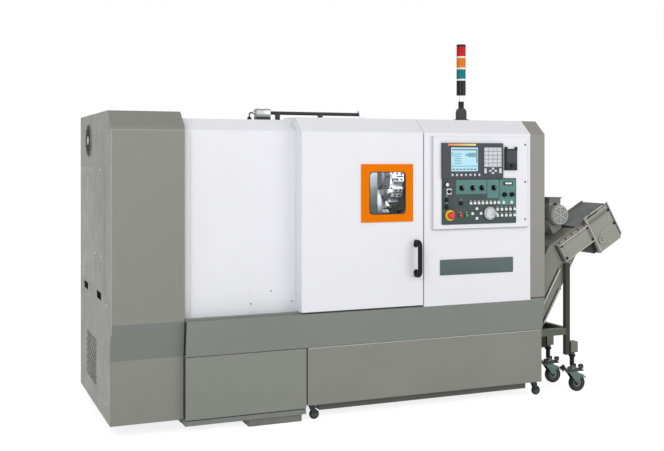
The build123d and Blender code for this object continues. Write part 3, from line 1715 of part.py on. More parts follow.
# Conveyor stand: posts, braces, sleeves and the casters' mounting plates
post_x0 = x_at(post_from_left)
post_x1 = post_x0 + post_size
stem_x = post_x1 + sleeve_length / 2
stand_fork_top = 2 * stand_caster["wheel"] + stand_caster["fork"] + caster_head + overrun
stand_plate_top = stand_fork_top + caster_plate_thickness
post_sides = [(conveyor_y0 - post_size, conveyor_y0), (conveyor_y1, conveyor_y1 + post_size)]
with BuildPart() as conveyor_stand:
    for post_y0, post_y1 in post_sides:
        stem_y = (post_y0 + post_y1) / 2
        block(post_x0, post_x1, post_y0, post_y1, post_bottom, post_top)
        block(tank_x1, post_x0, post_y0, post_y1, brace_bottom, brace_top)
        block(
            post_x1, post_x1 + sleeve_length,
            stem_y - sleeve_length / 2, stem_y + sleeve_length / 2,
            sleeve_bottom, sleeve_top,
        )
        rod((stem_x, stem_y, stand_plate_top), (0, 0, 1), stem_radius, sleeve_bottom - stand_plate_top)
        rod((stem_x, stem_y, sleeve_bottom - stem_nut_height), (0, 0, 1), stem_nut_radius, stem_nut_height)
        block(
            stem_x - caster_plate_length / 2, stem_x + caster_plate_length / 2,
            stem_y - caster_plate_width / 2, stem_y + caster_plate_width / 2,
            stand_plate_top - caster_plate_thickness, stand_plate_top,
        )
        for side_x in (-1, 1):
            for side_y in (-1, 1):
                bolt_x = stem_x + side_x * (caster_plate_length / 2 - plate_bolt_inset)
                bolt_y = stem_y + side_y * (caster_plate_width / 2 - plate_bolt_inset)
                rod((bolt_x, bolt_y, stand_plate_top), (0, 0, 1), plate_bolt_radius, plate_bolt_height)
    block(post_x0, post_x1, conveyor_y0, conveyor_y1, brace_bottom, brace_top)
save(conveyor_stand, "conveyor_stand")


def build_caster(name, swivel_x, swivel_y, seat_z, size):
    """A swivelling fork under a seat, and its wheel on the fork's axle."""
    axle_x = swivel_x + size["trail"]
    top_z = seat_z - slide_gap
    crown_z = top_z - caster_head
    inner = size["width"] / 2 + size["side"] / 2
    shoulder = size["swivel"] * fork_shoulder_share
    cheek_line = [
        (swivel_x - shoulder, crown_z),
        (swivel_x + shoulder, crown_z),
        (axle_x + 2 * size["axle"], size["wheel"]),
        (axle_x + size["axle"], size["wheel"] - 2 * size["axle"]),
        (axle_x - size["axle"], size["wheel"] - 2 * size["axle"]),
        (axle_x - 2 * size["axle"], size["wheel"]),
    ]
    with BuildPart() as fork:
        rod((swivel_x, swivel_y, crown_z), (0, 0, 1), size["swivel"], caster_head)
        block(
            swivel_x - shoulder, swivel_x + shoulder,
            swivel_y - inner - size["fork"], swivel_y + inner + size["fork"],
            crown_z - size["fork"], crown_z,
        )
        for side in (-1, 1):
            cheek_y = swivel_y + side * (inner + size["fork"] / 2)
            profile_y(cheek_line, cheek_y - size["fork"] / 2, cheek_y + size["fork"] / 2)
        rod((axle_x, swivel_y - inner, size["wheel"]), (0, 1, 0), size["axle"], 2 * inner)
    save(fork, name + "_fork")
    tread = size["wheel"] * tread_share
    shoulder = tread * tread_round_share
    half_line = [
        (tread / 2 - size["width"] / 2, size["axle"] + running_gap),
        (tread / 2 - size["width"] / 2, size["wheel"] * hub_share),
        (-size["width"] / 2, size["wheel"] * hub_share),
        (-size["width"] / 2, size["wheel"] - tread),
        (shoulder - size["width"] / 2, size["wheel"] - shoulder),
        (tread - size["width"] / 2, size["wheel"]),
    ]
    wheel_line = half_line + [(-across, radius) for across, radius in reversed(half_line)]
    wheel_points = [(swivel_y + across, size["wheel"] + radius) for across, radius in wheel_line]
    with BuildPart() as wheel:
        with BuildSketch(Plane.YZ.offset(axle_x)):
            with BuildLine():
                Polyline(*wheel_points, close=True)
            make_face()
        revolve(axis=Axis((axle_x, swivel_y, size["wheel"]), (0, 1, 0)))
    save(wheel, name + "_wheel")


# Casters of the stand and of the tank
stand_seat_z = stand_plate_top - caster_plate_thickness
for caster_name, (post_y0, post_y1) in zip(("front_stand_caster", "rear_stand_caster"), post_sides):
    build_caster(caster_name, stem_x, (post_y0 + post_y1) / 2, stand_seat_z, stand_caster)
for caster_name, caster_x in (
    ("left_tank_caster", tank_x0 + tank_caster_inset),
    ("right_tank_caster", tank_x1 - tank_caster_inset),
):
    build_caster(caster_name, caster_x, y_at(tank_caster_from_front), tank_bottom, tank_caster)
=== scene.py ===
"""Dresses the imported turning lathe: paint, glass, screens, keys, screws, trim, light and camera."""

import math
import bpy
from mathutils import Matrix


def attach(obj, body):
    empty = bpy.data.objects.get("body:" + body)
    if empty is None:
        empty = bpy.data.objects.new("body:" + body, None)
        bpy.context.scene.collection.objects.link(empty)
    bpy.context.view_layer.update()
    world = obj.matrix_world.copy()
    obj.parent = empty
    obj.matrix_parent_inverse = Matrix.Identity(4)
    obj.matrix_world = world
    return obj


bl_info = {
    "name": "Turning Lathe Dressing",
    "version": (1, 0, 0),
    "blender": (4, 5, 0),
    "location": "View3D > Sidebar > Lathe",
    "description": "Finishes and trim for an enclosed turning lathe with a chip conveyor",
    "category": "Object",
}

import bmesh
import bpy
from bpy.props import FloatProperty, FloatVectorProperty, IntProperty, PointerProperty
from bpy.types import NodeSocket, Operator, Panel, PropertyGroup
from mathutils import Matrix, Vector

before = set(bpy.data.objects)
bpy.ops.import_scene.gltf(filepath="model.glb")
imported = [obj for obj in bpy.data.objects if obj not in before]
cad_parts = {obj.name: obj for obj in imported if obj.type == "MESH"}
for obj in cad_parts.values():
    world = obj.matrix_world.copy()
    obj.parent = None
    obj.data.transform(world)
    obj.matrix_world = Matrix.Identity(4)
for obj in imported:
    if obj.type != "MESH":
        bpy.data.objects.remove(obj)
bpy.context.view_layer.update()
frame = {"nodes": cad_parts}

# Places are millimetres from the cabinet's left face, the door's front plane and the floor
SOLE_FROM_LEFT = 870.0
SOLE_FROM_FRONT = 115.0
MM = 0.001

FRONT = Vector((0.0, -1.0, 0.0))
BACK = Vector((0.0, 1.0, 0.0))
LEFT = Vector((-1.0, 0.0, 0.0))
RIGHT = Vector((1.0, 0.0, 0.0))
UP = Vector((0.0, 0.0, 1.0))
EVEN = (1.0, 1.0, 1.0)

# Spans, openings and centres on the front, as x and z
DOOR_HEIGHTS = (592, 1556)
WINDOW = ((1399.5, 1620.5), (1107, 1341))
SCREEN = ((1895, 2074), (1342, 1479))
STRIP = (1875, 2058)
KNOBS = {"mode_knob": 1968.9, "feed_knob": 2041.0, "rapid_knob": 2101.2, "spindle_knob": 2181.1}
KNOB_HEIGHT = 1247
HANDWHEEL = (2154, 1100)
LAMP_SOCKET = (1872.4, 1267.1)
MOTOR = (2739, 1067.5)

# Axes along X, as y and z
CYLINDER = (330, 1672)
FAN = (763, 1517)
SPINDLE = (430, 1130)
TURRET = (606.78, 1306.78)
STATIONS = 12

# Faces that trim lies on, as y, and that of the side sheet, as x
SIDE_SHEET_FACE = -1.2
SERVICE_FACE = 92.6
SCREEN_FACE = -31.5
PANEL_FACE = -24
METER_FACE = -29
REAR_DOOR_FACE = 1475.3

# The conveyor: its bend, the tilts of its head and its steep part, and its stand
BEND = (2800, 904)
HEAD_TILT = math.radians(30.0)
INCLINE_TILT = math.radians(60.0)
INCLINE_BACK = 122
STEM = 2776
STAND_SIDES = (40, 285)


def at(x, y, z):
    """A place in the model's frame, in metres."""
    return Vector(((x - SOLE_FROM_LEFT) * MM, (y - SOLE_FROM_FRONT) * MM, z * MM))


def srgb(red, green, blue):
    """A display colour from 0 to 255 as scene-linear values."""
    shares = [channel / 255.0 for channel in (red, green, blue)]
    return tuple(s / 12.92 if s <= 0.04045 else ((s + 0.055) / 1.055) ** 2.4 for s in shares)


def slanted(start, tilt, along, across):
    """(x, z) of a place measured along a tilted line and square to it."""
    run, rise = math.cos(tilt), math.sin(tilt)
    return (start[0] + along * run - across * rise, start[1] + along * rise + across * run)


def on_head(along, across):
    """(x, z) of a place on the conveyor's head, measured from the bend."""
    return slanted(BEND, HEAD_TILT, along, across)


def on_incline(along, across):
    """(x, z) of a place on the conveyor's steep part, measured from its upper end."""
    return slanted(on_head(-INCLINE_BACK, 0), INCLINE_TILT, along, across)


def corners(where, along, across):
    """The four (x, z) corners of a box on the head or the steep part."""
    return [where(along[i], across[j]) for i, j in ((0, 0), (1, 0), (1, 1), (0, 1))]


def outward(angle):
    """A direction square to X."""
    return Vector((0.0, math.cos(angle), math.sin(angle)))


def beside(axis, x, spot):
    """A place at x, set off from an axis along X."""
    return (x, axis[0] + spot.y, axis[1] + spot.z)


# Finishes


class Nodes:
    """Short helpers for a node tree."""

    def __init__(self, tree):
        self.tree = tree
        tree.nodes.clear()

    def node(self, kind, inputs=None, **settings):
        """Adds a node, sets its properties and fills its inputs."""
        made = self.tree.nodes.new(kind)
        for key, value in settings.items():
            setattr(made, key, value)
        for key, value in (inputs or {}).items():
            self.fill(made.inputs[key], value)
        return made

    def fill(self, socket, value):
        """Links an output to an input, or sets the input's value."""
        if isinstance(value, NodeSocket):
            self.tree.links.new(value, socket)
        else:
            socket.default_value = (*value, 1.0) if socket.type == "RGBA" else value

    def calculate(self, operation, *values):
        """The result of an operation on numbers, each given as a value or as an output."""
        return self.node("ShaderNodeMath", dict(enumerate(values)), operation=operation).outputs["Value"]


class Finish(Nodes):
    """A material patterned on Object coordinates."""

    def __init__(self, name):
        self.material = bpy.data.materials.new(name)
        self.material.use_nodes = True
        super().__init__(self.material.node_tree)
        self.shader = self.node("ShaderNodeBsdfPrincipled")
        self.node("ShaderNodeOutputMaterial", {"Surface": self.shader.outputs["BSDF"]})
        self.place = self.node("ShaderNodeTexCoord").outputs["Object"]

    def set(self, name, value):
        """Fills an input of the shader."""
        self.fill(self.shader.inputs[name], value)

    def noise(self, scale, detail=2.0, stretch=EVEN):
        """Noise over the surface, with the scale in cells per metre."""
        mapping = self.node("ShaderNodeMapping", {"Scale": stretch, "Vector": self.place})
        inputs = {"Scale": scale, "Detail": detail, "Vector": mapping.outputs["Vector"]}
        return self.node("ShaderNodeTexNoise", inputs).outputs["Fac"]

    def wander(self, low, high, *pattern):
        """A noise whose middle is spread over a range."""
        spread = {"From Min": 0.3, "From Max": 0.7, "To Min": low, "To Max": high}
        spread["Value"] = self.noise(*pattern)
        return self.node("ShaderNodeMapRange", spread).outputs["Result"]

    def tones(self, colour, low, high, *pattern):
        """A colour that wanders between two shares of itself."""
        return self.mix(self.wander(0.0, 1.0, *pattern), shade_of(colour, low), shade_of(colour, high))

    def along(self, axis):
        """The distance along an axis of the frame, in metres."""
        return self.node("ShaderNodeSeparateXYZ", {"Vector": self.place}).outputs[axis]

    def band(self, value, low, high):
        """One where a value lies between two limits."""
        return self.calculate("COMPARE", value, (low + high) / 2, (high - low) / 2)

    def inside(self, x, y, z):
        """One inside a box of places in millimetres."""
        low, high = at(x[0], y[0], z[0]), at(x[1], y[1], z[1])
        shares = [self.band(self.along(axis), low[index], high[index]) for index, axis in enumerate("XYZ")]
        return self.calculate("MULTIPLY", self.calculate("MULTIPLY", *shares[:2]), shares[2])

    def mix(self, factor, first, second):
        """Blends two colours, each given as values or as an output."""
        # Inputs 6 and 7 and output 2 are the colours of the node
        inputs = {"Factor": factor, 6: first, 7: second}
        return self.node("ShaderNodeMix", inputs, data_type="RGBA").outputs[2]

    def bump(self, height, strength, distance, edge=0.0):
        """Raises the surface by a height pattern, over edges softened by a radius."""
        relief = self.node("ShaderNodeBump", {"Strength": strength, "Distance": distance, "Height": height})
        if edge:
            soft = self.node("ShaderNodeBevel", {"Radius": edge}, samples=6)
            self.fill(relief.inputs["Normal"], soft.outputs["Normal"])
        self.set("Normal", relief.outputs["Normal"])


def shade_of(colour, share):
    """A colour made darker or lighter by a share."""
    return tuple(min(channel * share, 1.0) for channel in colour)


def painted(name, colour, roughness=0.42, cloud=0.03, peel=0.08, edge=0.002, gloss=0.4, zones=()):
    """Sprayed enamel: cloudiness, dust, orange peel, soft folds, and zones of another share or colour."""
    finish = Finish(name)
    coat = finish.tones(colour, 1.0 - cloud, 1.0 + cloud, 2.2, 4.0)
    for x, y, z, tone in zones:
        shown = tone if isinstance(tone, tuple) else shade_of(colour, tone)
        coat = finish.mix(finish.inside(x, y, z), coat, shown)
    finish.set("Base Color", coat)
    finish.set("Roughness", finish.wander(roughness - 0.06, roughness + 0.06, 9.0, 3.0))
    finish.set("Specular IOR Level", gloss)
    finish.bump(finish.noise(420.0, 1.0), peel, 0.0004, edge)
    return finish.material


def plastic(name, colour, roughness=0.5, grain=0.25, gloss=0.5):
    """Moulded plastic with a fine spark-eroded grain."""
    finish = Finish(name)
    finish.set("Base Color", finish.tones(colour, 0.93, 1.06, 60.0))
    finish.set("Roughness", finish.wander(roughness - 0.07, roughness + 0.07, 140.0))
    finish.set("Specular IOR Level", gloss)
    finish.bump(finish.noise(1500.0, 1.0), grain, 0.0002, 0.0006)
    return finish.material


def keyed(name, plate, keys, face):
    """A dark panel whose raised keys are pale: keys stand in front of the face, given in millimetres."""
    finish = Finish(name)
    front = at(0.0, face, 0.0).y
    raised = finish.mix(finish.band(finish.along("Y"), front - 0.1, front), plate, keys)
    tone = finish.node("ShaderNodeHueSaturation", {"Value": finish.wander(0.94, 1.05, 70.0), "Color": raised})
    finish.set("Base Color", tone.outputs["Color"])
    finish.set("Roughness", finish.wander(0.38, 0.52, 140.0))
    finish.bump(finish.noise(1500.0, 1.0), 0.15, 0.0002, 0.0006)
    return finish.material


def metal(name, colour, roughness=0.3, lines=900.0, stretch=EVEN):
    """Machined or plated metal with fine tool lines along the stretched axis."""
    finish = Finish(name)
    finish.set("Metallic", 1.0)
    finish.set("Base Color", finish.tones(colour, 0.9, 1.06, lines, 2.0, stretch))
    finish.set("Roughness", finish.wander(roughness - 0.06, roughness + 0.08, lines * 0.6, 2.0, stretch))
    finish.bump(finish.noise(lines, 1.0, stretch), 0.08, 0.0001, 0.0008)
    return finish.material


def cast(name, colour):
    """Painted casting with a sand-cast relief."""
    finish = Finish(name)
    finish.set("Base Color", finish.tones(colour, 0.9, 1.08, 14.0, 4.0))
    finish.set("Roughness", finish.wander(0.52, 0.68, 40.0, 3.0))
    finish.bump(finish.noise(160.0, 4.0), 0.35, 0.0012, 0.0015)
    return finish.material


def lens(name, colour):
    """Ribbed plastic of a signal light."""
    finish = Finish(name)
    wave = {"Scale": 40.0, "Vector": finish.place}
    ribs = finish.node("ShaderNodeTexWave", wave, wave_type="BANDS", bands_direction="Z").outputs["Fac"]
    finish.set("Base Color", finish.mix(ribs, shade_of(colour, 0.8), shade_of(colour, 1.1)))
    finish.set("Roughness", finish.wander(0.1, 0.16, 30.0))
    finish.set("Specular IOR Level", 0.12)
    finish.set("Coat Weight", 0.06)
    finish.bump(ribs, 0.12, 0.0006)
    return finish.material


def tower_finish(name):
    """Black plastic with pale rings between the lenses and a bright pole."""
    finish = Finish(name)
    height = finish.along("Z")
    pole = finish.band(height, 1.7585, 1.7945)
    colour = finish.mix(finish.band(height, 1.5, 1.716), srgb(9, 9, 10), srgb(36, 36, 40))
    colour = finish.mix(pole, colour, srgb(205, 205, 208))
    for low in (1.8835, 1.9515, 2.0195):
        colour = finish.mix(finish.band(height, low, low + 0.0102), colour, srgb(238, 238, 238))
    finish.set("Base Color", colour)
    finish.set("Metallic", pole)
    finish.set("Roughness", finish.wander(0.2, 0.3, 90.0))
    finish.set("Specular IOR Level", 0.25)
    finish.bump(finish.noise(900.0, 1.0), 0.1, 0.0002, 0.0015)
    return finish.material


def cylinder_finish(name):
    """A dark barrel and fitting with a bare aluminium head block."""
    finish = Finish(name)
    block = finish.inside((849, 935), (300, 360), (1650, 1700))
    finish.set("Base Color", finish.mix(block, srgb(24, 24, 26), srgb(150, 152, 150)))
    finish.set("Roughness", finish.wander(0.32, 0.45, 60.0))
    finish.bump(finish.noise(700.0, 1.0), 0.1, 0.0002, 0.0012)
    return finish.material


def reach_finish(name, axis, band, inner, outer, metallic, roughness, rim=None):
    """Two tones told apart by the distance from an axis along X, the outer one in the band, and a rim."""
    finish = Finish(name)
    middle = at(0.0, *axis)
    moved = {"Location": (0.0, -middle.y, -middle.z), "Scale": (0.0, 1.0, 1.0), "Vector": finish.place}
    spot = finish.node("ShaderNodeMapping", moved).outputs["Vector"]
    reach = finish.node("ShaderNodeVectorMath", {0: spot}, operation="LENGTH").outputs["Value"]
    zones = [(*band, finish.tones(outer, 0.94, 1.05, 260.0))]
    if rim is not None:
        zones.append(rim)
    coat = finish.tones(inner, 0.92, 1.08, 260.0)
    for low, high, tone in zones:
        coat = finish.mix(finish.band(reach, low * MM, high * MM), coat, tone)
    finish.set("Base Color", coat)
    finish.set("Metallic", metallic)
    finish.set("Roughness", finish.wander(roughness - 0.06, roughness + 0.06, 120.0))
    finish.bump(finish.noise(500.0, 1.0), 0.08, 0.0002, 0.0015)
    return finish.material


def window_pane(name):
    """Clear laminated glass with a faint smear."""
    finish = Finish(name)
    finish.set("Base Color", (0.94, 0.97, 0.96))
    finish.set("Transmission Weight", 1.0)
    finish.set("IOR", 1.08)
    finish.set("Roughness", finish.wander(0.0, 0.004, 5.0, 3.0))
    return finish.material


def lit(name, colour, strength, second=None, span=None):
    """A lit surface with a faint mottle, blended along a span of X to a second colour if there is one."""
    finish = Finish(name)
    shown = colour
    if second is not None:
        start, end = (at(x, 0.0, 0.0).x for x in span)
        inputs = {"From Min": start, "From Max": end, "Value": finish.along("X")}
        shown = finish.mix(finish.node("ShaderNodeMapRange", inputs).outputs["Result"], colour, second)
    finish.set("Base Color", shown)
    finish.set("Emission Color", shown)
    mottle = finish.wander(0.96, 1.03, 500.0, 1.0)
    finish.set("Emission Strength", finish.calculate("MULTIPLY", mottle, strength))
    finish.set("Roughness", 0.25)
    return finish.material


# Pieces


class Piece:
    """A mesh put together from simple forms, with places in millimetres."""

    def __init__(self, name):
        self.name = name
        self.mesh = bmesh.new()

    def row(self, spots):
        """Corners at places in metres."""
        return [self.mesh.verts.new(spot) for spot in spots]

    def skin(self, rows, ends=True):
        """Faces between rows of corners, and over the first and the last row."""
        faces = [self.mesh.faces.new(row) for row in (rows[0], rows[-1])] if ends else []
        for first, second in zip(rows, rows[1:]):
            for index in range(len(first)):
                loop = (first[index - 1], first[index], second[index], second[index - 1])
                faces.append(self.mesh.faces.new(loop))
        return faces

    def soften(self, edges, amount):
        """Rounds edges by an amount in millimetres."""
        if amount:
            bmesh.ops.bevel(
                self.mesh, geom=list(edges), offset=amount * MM, segments=2, profile=0.7, affect="EDGES",
            )

    def slab(self, x, y, z, edge):
        """A box between limits, with rounded edges."""
        low, high = at(x[0], y[0], z[0]), at(x[1], y[1], z[1])
        place = Matrix.Translation((low + high) / 2) @ Matrix.Diagonal((*(high - low), 1.0))
        made = bmesh.ops.create_cube(self.mesh, size=1.0, matrix=place)
        self.soften({link for vert in made["verts"] for link in vert.link_edges}, edge)
        return self

    def swung(self, place, axis, angle, *slab):
        """A slab turned about an axis through a place."""
        before = set(self.mesh.verts)
        self.slab(*slab)
        fresh = [vert for vert in self.mesh.verts if vert not in before]
        bmesh.ops.rotate(self.mesh, verts=fresh, cent=at(*place), matrix=Matrix.Rotation(angle, 3, axis))

    def prism(self, points, span, edge, along="Y"):
        """A closed outline carried over a span: (x, z) points along Y, or (y, z) points along X."""
        rows = []
        for depth in span:
            spots = [(across, depth, z) if along == "Y" else (depth, across, z) for across, z in points]
            rows.append(self.row([at(*spot) for spot in spots]))
        self.soften({link for face in self.skin(rows) for link in face.edges}, edge)
        return self

    def hoop(self, outer, inner, y):
        """A frame between two (x, z) outlines with as many points."""
        rows = [self.row([at(px, depth, pz) for px, pz in points])
                for points, depth in ((outer, y[0]), (outer, y[1]), (inner, y[1]), (inner, y[0]))]
        self.skin(rows + rows[:1], ends=False)
        return self

    def turned(self, place, axis, line, sides=24):
        """A turned form: (along, radius) points about an axis through a place."""
        turn, start = UP.rotation_difference(axis).to_matrix(), at(*place)
        rows = []
        for along, radius in line:
            spots = [Vector((a, b, along)) * MM for a, b in circle(0, 0, radius, sides)]
            rows.append(self.row([start + turn @ spot for spot in spots]))
        self.skin(rows, line[0] != line[-1])
        return self

    def post(self, place, axis, radius, length, edge):
        """A round post from a place along an axis, with a chamfered rim."""
        self.turned(place, axis, [(0, radius), (length - edge, radius), (length, radius - edge)])

    def ring(self, place, axis, outer, inner, length):
        """A ring with square edges."""
        line = [(0, outer), (length, outer), (length, inner), (0, inner), (0, outer)]
        self.turned(place, axis, line, 40)

    def data(self):
        """Ends the mesh, with its faces turned outwards."""
        bmesh.ops.recalc_face_normals(self.mesh, faces=self.mesh.faces)
        data = bpy.data.meshes.new(self.name)
        self.mesh.to_mesh(data)
        self.mesh.free()
        return data

    def pattern(self):
        """Ends a mesh that is only used as the source of a repeat."""
        return bpy.data.objects.new(self.name, self.data())

    def seat(self, material, slot, body="machine"):
        """Ends the mesh and seats it on a body."""
        bmesh.ops.remove_doubles(self.mesh, verts=self.mesh.verts, dist=1e-7)
        data = self.data()
        data.materials.append(known(material))
        seat_mesh(self.name, data, body)


def known(material):
    """A material, given as itself or by the name of one that is there."""
    return bpy.data.materials[material] if isinstance(material, str) else material


def seat_mesh(name, data, body):
    """Makes an object from a mesh and lets it ride on a body."""
    data.shade_smooth()
    data.set_sharp_from_angle(angle=math.radians(32.0))
    made = bpy.data.objects.new(name, data)
    bpy.context.scene.collection.objects.link(made)
    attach(made, body)


def rounded(x, z, corner, steps=5, grow=0.0):
    """Outline of a rectangle with round corners, grown on all sides, as (x, z) points."""
    left, right, low, high = x[0] - grow, x[1] + grow, z[0] - grow, z[1] + grow
    points = []
    for middle_x, middle_z, first in (
        (right - corner, high - corner, 0), (left + corner, high - corner, 1),
        (left + corner, low + corner, 2), (right - corner, low + corner, 3),
    ):
        for step in range(steps + 1):
            angle = math.radians(90.0) * (first + step / steps)
            points.append((middle_x + corner * math.cos(angle), middle_z + corner * math.sin(angle)))
    return points


def circle(x, z, radius, steps=32):
    """Outline of a circle as (x, z) points."""
    turns = [2 * math.pi * step / steps for step in range(steps)]
    return [(x + radius * math.cos(turn), z + radius * math.sin(turn)) for turn in turns]


# Repeats


def repeat_tree():
    """Nodes that set one piece on many places, each turned to its facing."""
    tree = bpy.data.node_groups.new("repeat_on_places", "GeometryNodeTree")
    inputs = {"Geometry": "Geometry", "Piece": "Object", "Size": "Float", "Finish": "Material"}
    for label, kind in inputs.items():
        tree.interface.new_socket(label, in_out="INPUT", socket_type="NodeSocket" + kind)
    tree.interface.new_socket("Geometry", in_out="OUTPUT", socket_type="NodeSocketGeometry")
    nodes = Nodes(tree)
    given = nodes.node("NodeGroupInput").outputs
    source = nodes.node("GeometryNodeObjectInfo", {"Object": given["Piece"]})
    facing = nodes.node("GeometryNodeInputNamedAttribute", {"Name": "facing"}, data_type="FLOAT_VECTOR")
    align = nodes.node("FunctionNodeAlignRotationToVector", {"Vector": facing.outputs["Attribute"]}, axis="Z")
    copies = nodes.node("GeometryNodeInstanceOnPoints", {
        "Points": given["Geometry"], "Instance": source.outputs["Geometry"],
        "Rotation": align.outputs["Rotation"], "Scale": given["Size"],
    })
    realize = nodes.node("GeometryNodeRealizeInstances", {"Geometry": copies.outputs["Instances"]})
    whole = {"Geometry": realize.outputs["Geometry"], "Material": given["Finish"]}
    coat = nodes.node("GeometryNodeSetMaterial", whole)
    nodes.node("NodeGroupOutput", {"Geometry": coat.outputs["Geometry"]})
    return tree


def unit_screw():
    """A button-head screw of radius one millimetre with a hexagon socket, as a hidden pattern piece."""
    piece = Piece("screw_pattern")
    rows = []
    for height, radius, hexagon in (
        (0, 1, False), (0.3, 0.98, False), (0.6, 0.74, False), (0.68, 0.5, False),
        (0.68, 0.42, True), (0.25, 0.4, True),
    ):
        spots = []
        for a, b in circle(0, 0, radius, 24):
            flat = 1.0
            if hexagon:
                flat = math.cos(math.pi / 6) / math.cos(math.atan2(b, a) % (math.pi / 3) - math.pi / 6)
            spots.append(Vector((a * flat, b * flat, height)) * MM)
        rows.append(piece.row(spots))
    piece.skin(rows)
    return piece.pattern()


def unit_prism(name, line, half, edge):
    """A hidden pattern piece: a (y, z) outline carried along X to both sides of the origin."""
    points = [(SOLE_FROM_FRONT + y, z) for y, z in line]
    return Piece(name).prism(points, (SOLE_FROM_LEFT - half, SOLE_FROM_LEFT + half), edge, "X").pattern()


def repeat(name, pattern, places, size, material, body="machine"):
    """Sets a pattern piece on (place, facing) pairs and seats the result on a body as one mesh."""
    data = bpy.data.meshes.new(name + "_places")
    data.from_pydata([at(*place) for place, _ in places], [], [])
    facing = data.attributes.new("facing", "FLOAT_VECTOR", "POINT")
    for index, (_, direction) in enumerate(places):
        facing.data[index].vector = direction
    holder = bpy.data.objects.new(name + "_places", data)
    bpy.context.scene.collection.objects.link(holder)
    modifier = holder.modifiers.new("repeat", "NODES")
    modifier.node_group = bpy.data.node_groups.get("repeat_on_places") or repeat_tree()
    values = {"Piece": pattern, "Size": size, "Finish": known(material)}
    for item in modifier.node_group.interface.items_tree:
        if item.in_out == "INPUT" and item.name in values:
            modifier[item.identifier] = values[item.name]
    graph = bpy.context.evaluated_depsgraph_get()
    made = bpy.data.meshes.new_from_object(holder.evaluated_get(graph))
    bpy.data.objects.remove(holder)
    made.name = name
    seat_mesh(name, made, body)


# Settings


class StageSettings(PropertyGroup):
    """Camera and light of the picture."""

    camera_place: FloatVectorProperty(
        name="Camera place", description="Where the camera stands", subtype="TRANSLATION", unit="LENGTH",
        default=at(-815.56, -4794.08, 1411.23),
    )
    camera_turn: FloatProperty(
        name="Camera turn", description="Turn of the camera to the right of the machine's square",
        unit="ROTATION", default=math.radians(22.2056),
    )
    camera_lens: FloatProperty(name="Lens", description="Focal length in millimetres", default=52.0, min=10.0)
    camera_shift: FloatVectorProperty(
        name="Shift", description="Shift of the picture across and up", size=2, default=(0.0097, -0.0998),
    )
    key_power: FloatProperty(
        name="Key", description="Power of the large lamp", unit="POWER", default=88.0, min=0.0,
    )
    fill_power: FloatProperty(
        name="Fill", description="Power of the soft lamp", unit="POWER", default=64.0, min=0.0,
    )
    work_power: FloatProperty(
        name="Work light", description="Lamp behind the window", unit="POWER", default=16.0, min=0.0,
    )
    sky_strength: FloatProperty(name="Sky", description="Light from all round", default=0.52, min=0.0)


class PaintSettings(PropertyGroup):
    """Colours of the coats."""

    cabinet: FloatVectorProperty(
        name="Cabinet", description="Enamel of the left cabinet", subtype="COLOR",
        default=srgb(132, 133, 125),
    )
    band: FloatVectorProperty(
        name="Band", description="Enamel of the leaning band", subtype="COLOR",
        default=srgb(126, 131, 126),
    )
    panel: FloatVectorProperty(
        name="Panels", description="White of the door and panels", subtype="COLOR",
        default=srgb(233, 233, 238),
    )
    frame: FloatVectorProperty(
        name="Window frame", description="Orange of the frame", subtype="COLOR",
        default=srgb(238, 122, 0),
    )
    conveyor: FloatVectorProperty(
        name="Conveyor", description="Enamel of the conveyor", subtype="COLOR",
        default=srgb(124, 125, 117),
    )


class TrimSettings(PropertyGroup):
    """Sizes of the small pieces, in millimetres."""

    screw_radius: FloatProperty(
        name="Screw", description="Radius of a panel screw's head", default=6.0, min=2.0,
    )
    bolt_radius: FloatProperty(
        name="Bolt", description="Radius of a conveyor bolt's head", default=9.0, min=3.0,
    )
    gasket_width: FloatProperty(
        name="Gasket", description="Width of the window's rubber", default=3.0, min=2.0,
    )
    plate_depth: FloatProperty(name="Plates", description="Depth of the bare plates", default=2.0, min=0.5)
    dial_ticks: IntProperty(name="Dial ticks", description="Ticks around each knob", default=11, min=3)


# Operators


class Dressing:
    """Shared by the operators: undo, and the call of the step itself."""

    bl_options = {"REGISTER", "UNDO"}

    def execute(self, context):
        self.dress(context.scene)
        return {"FINISHED"}


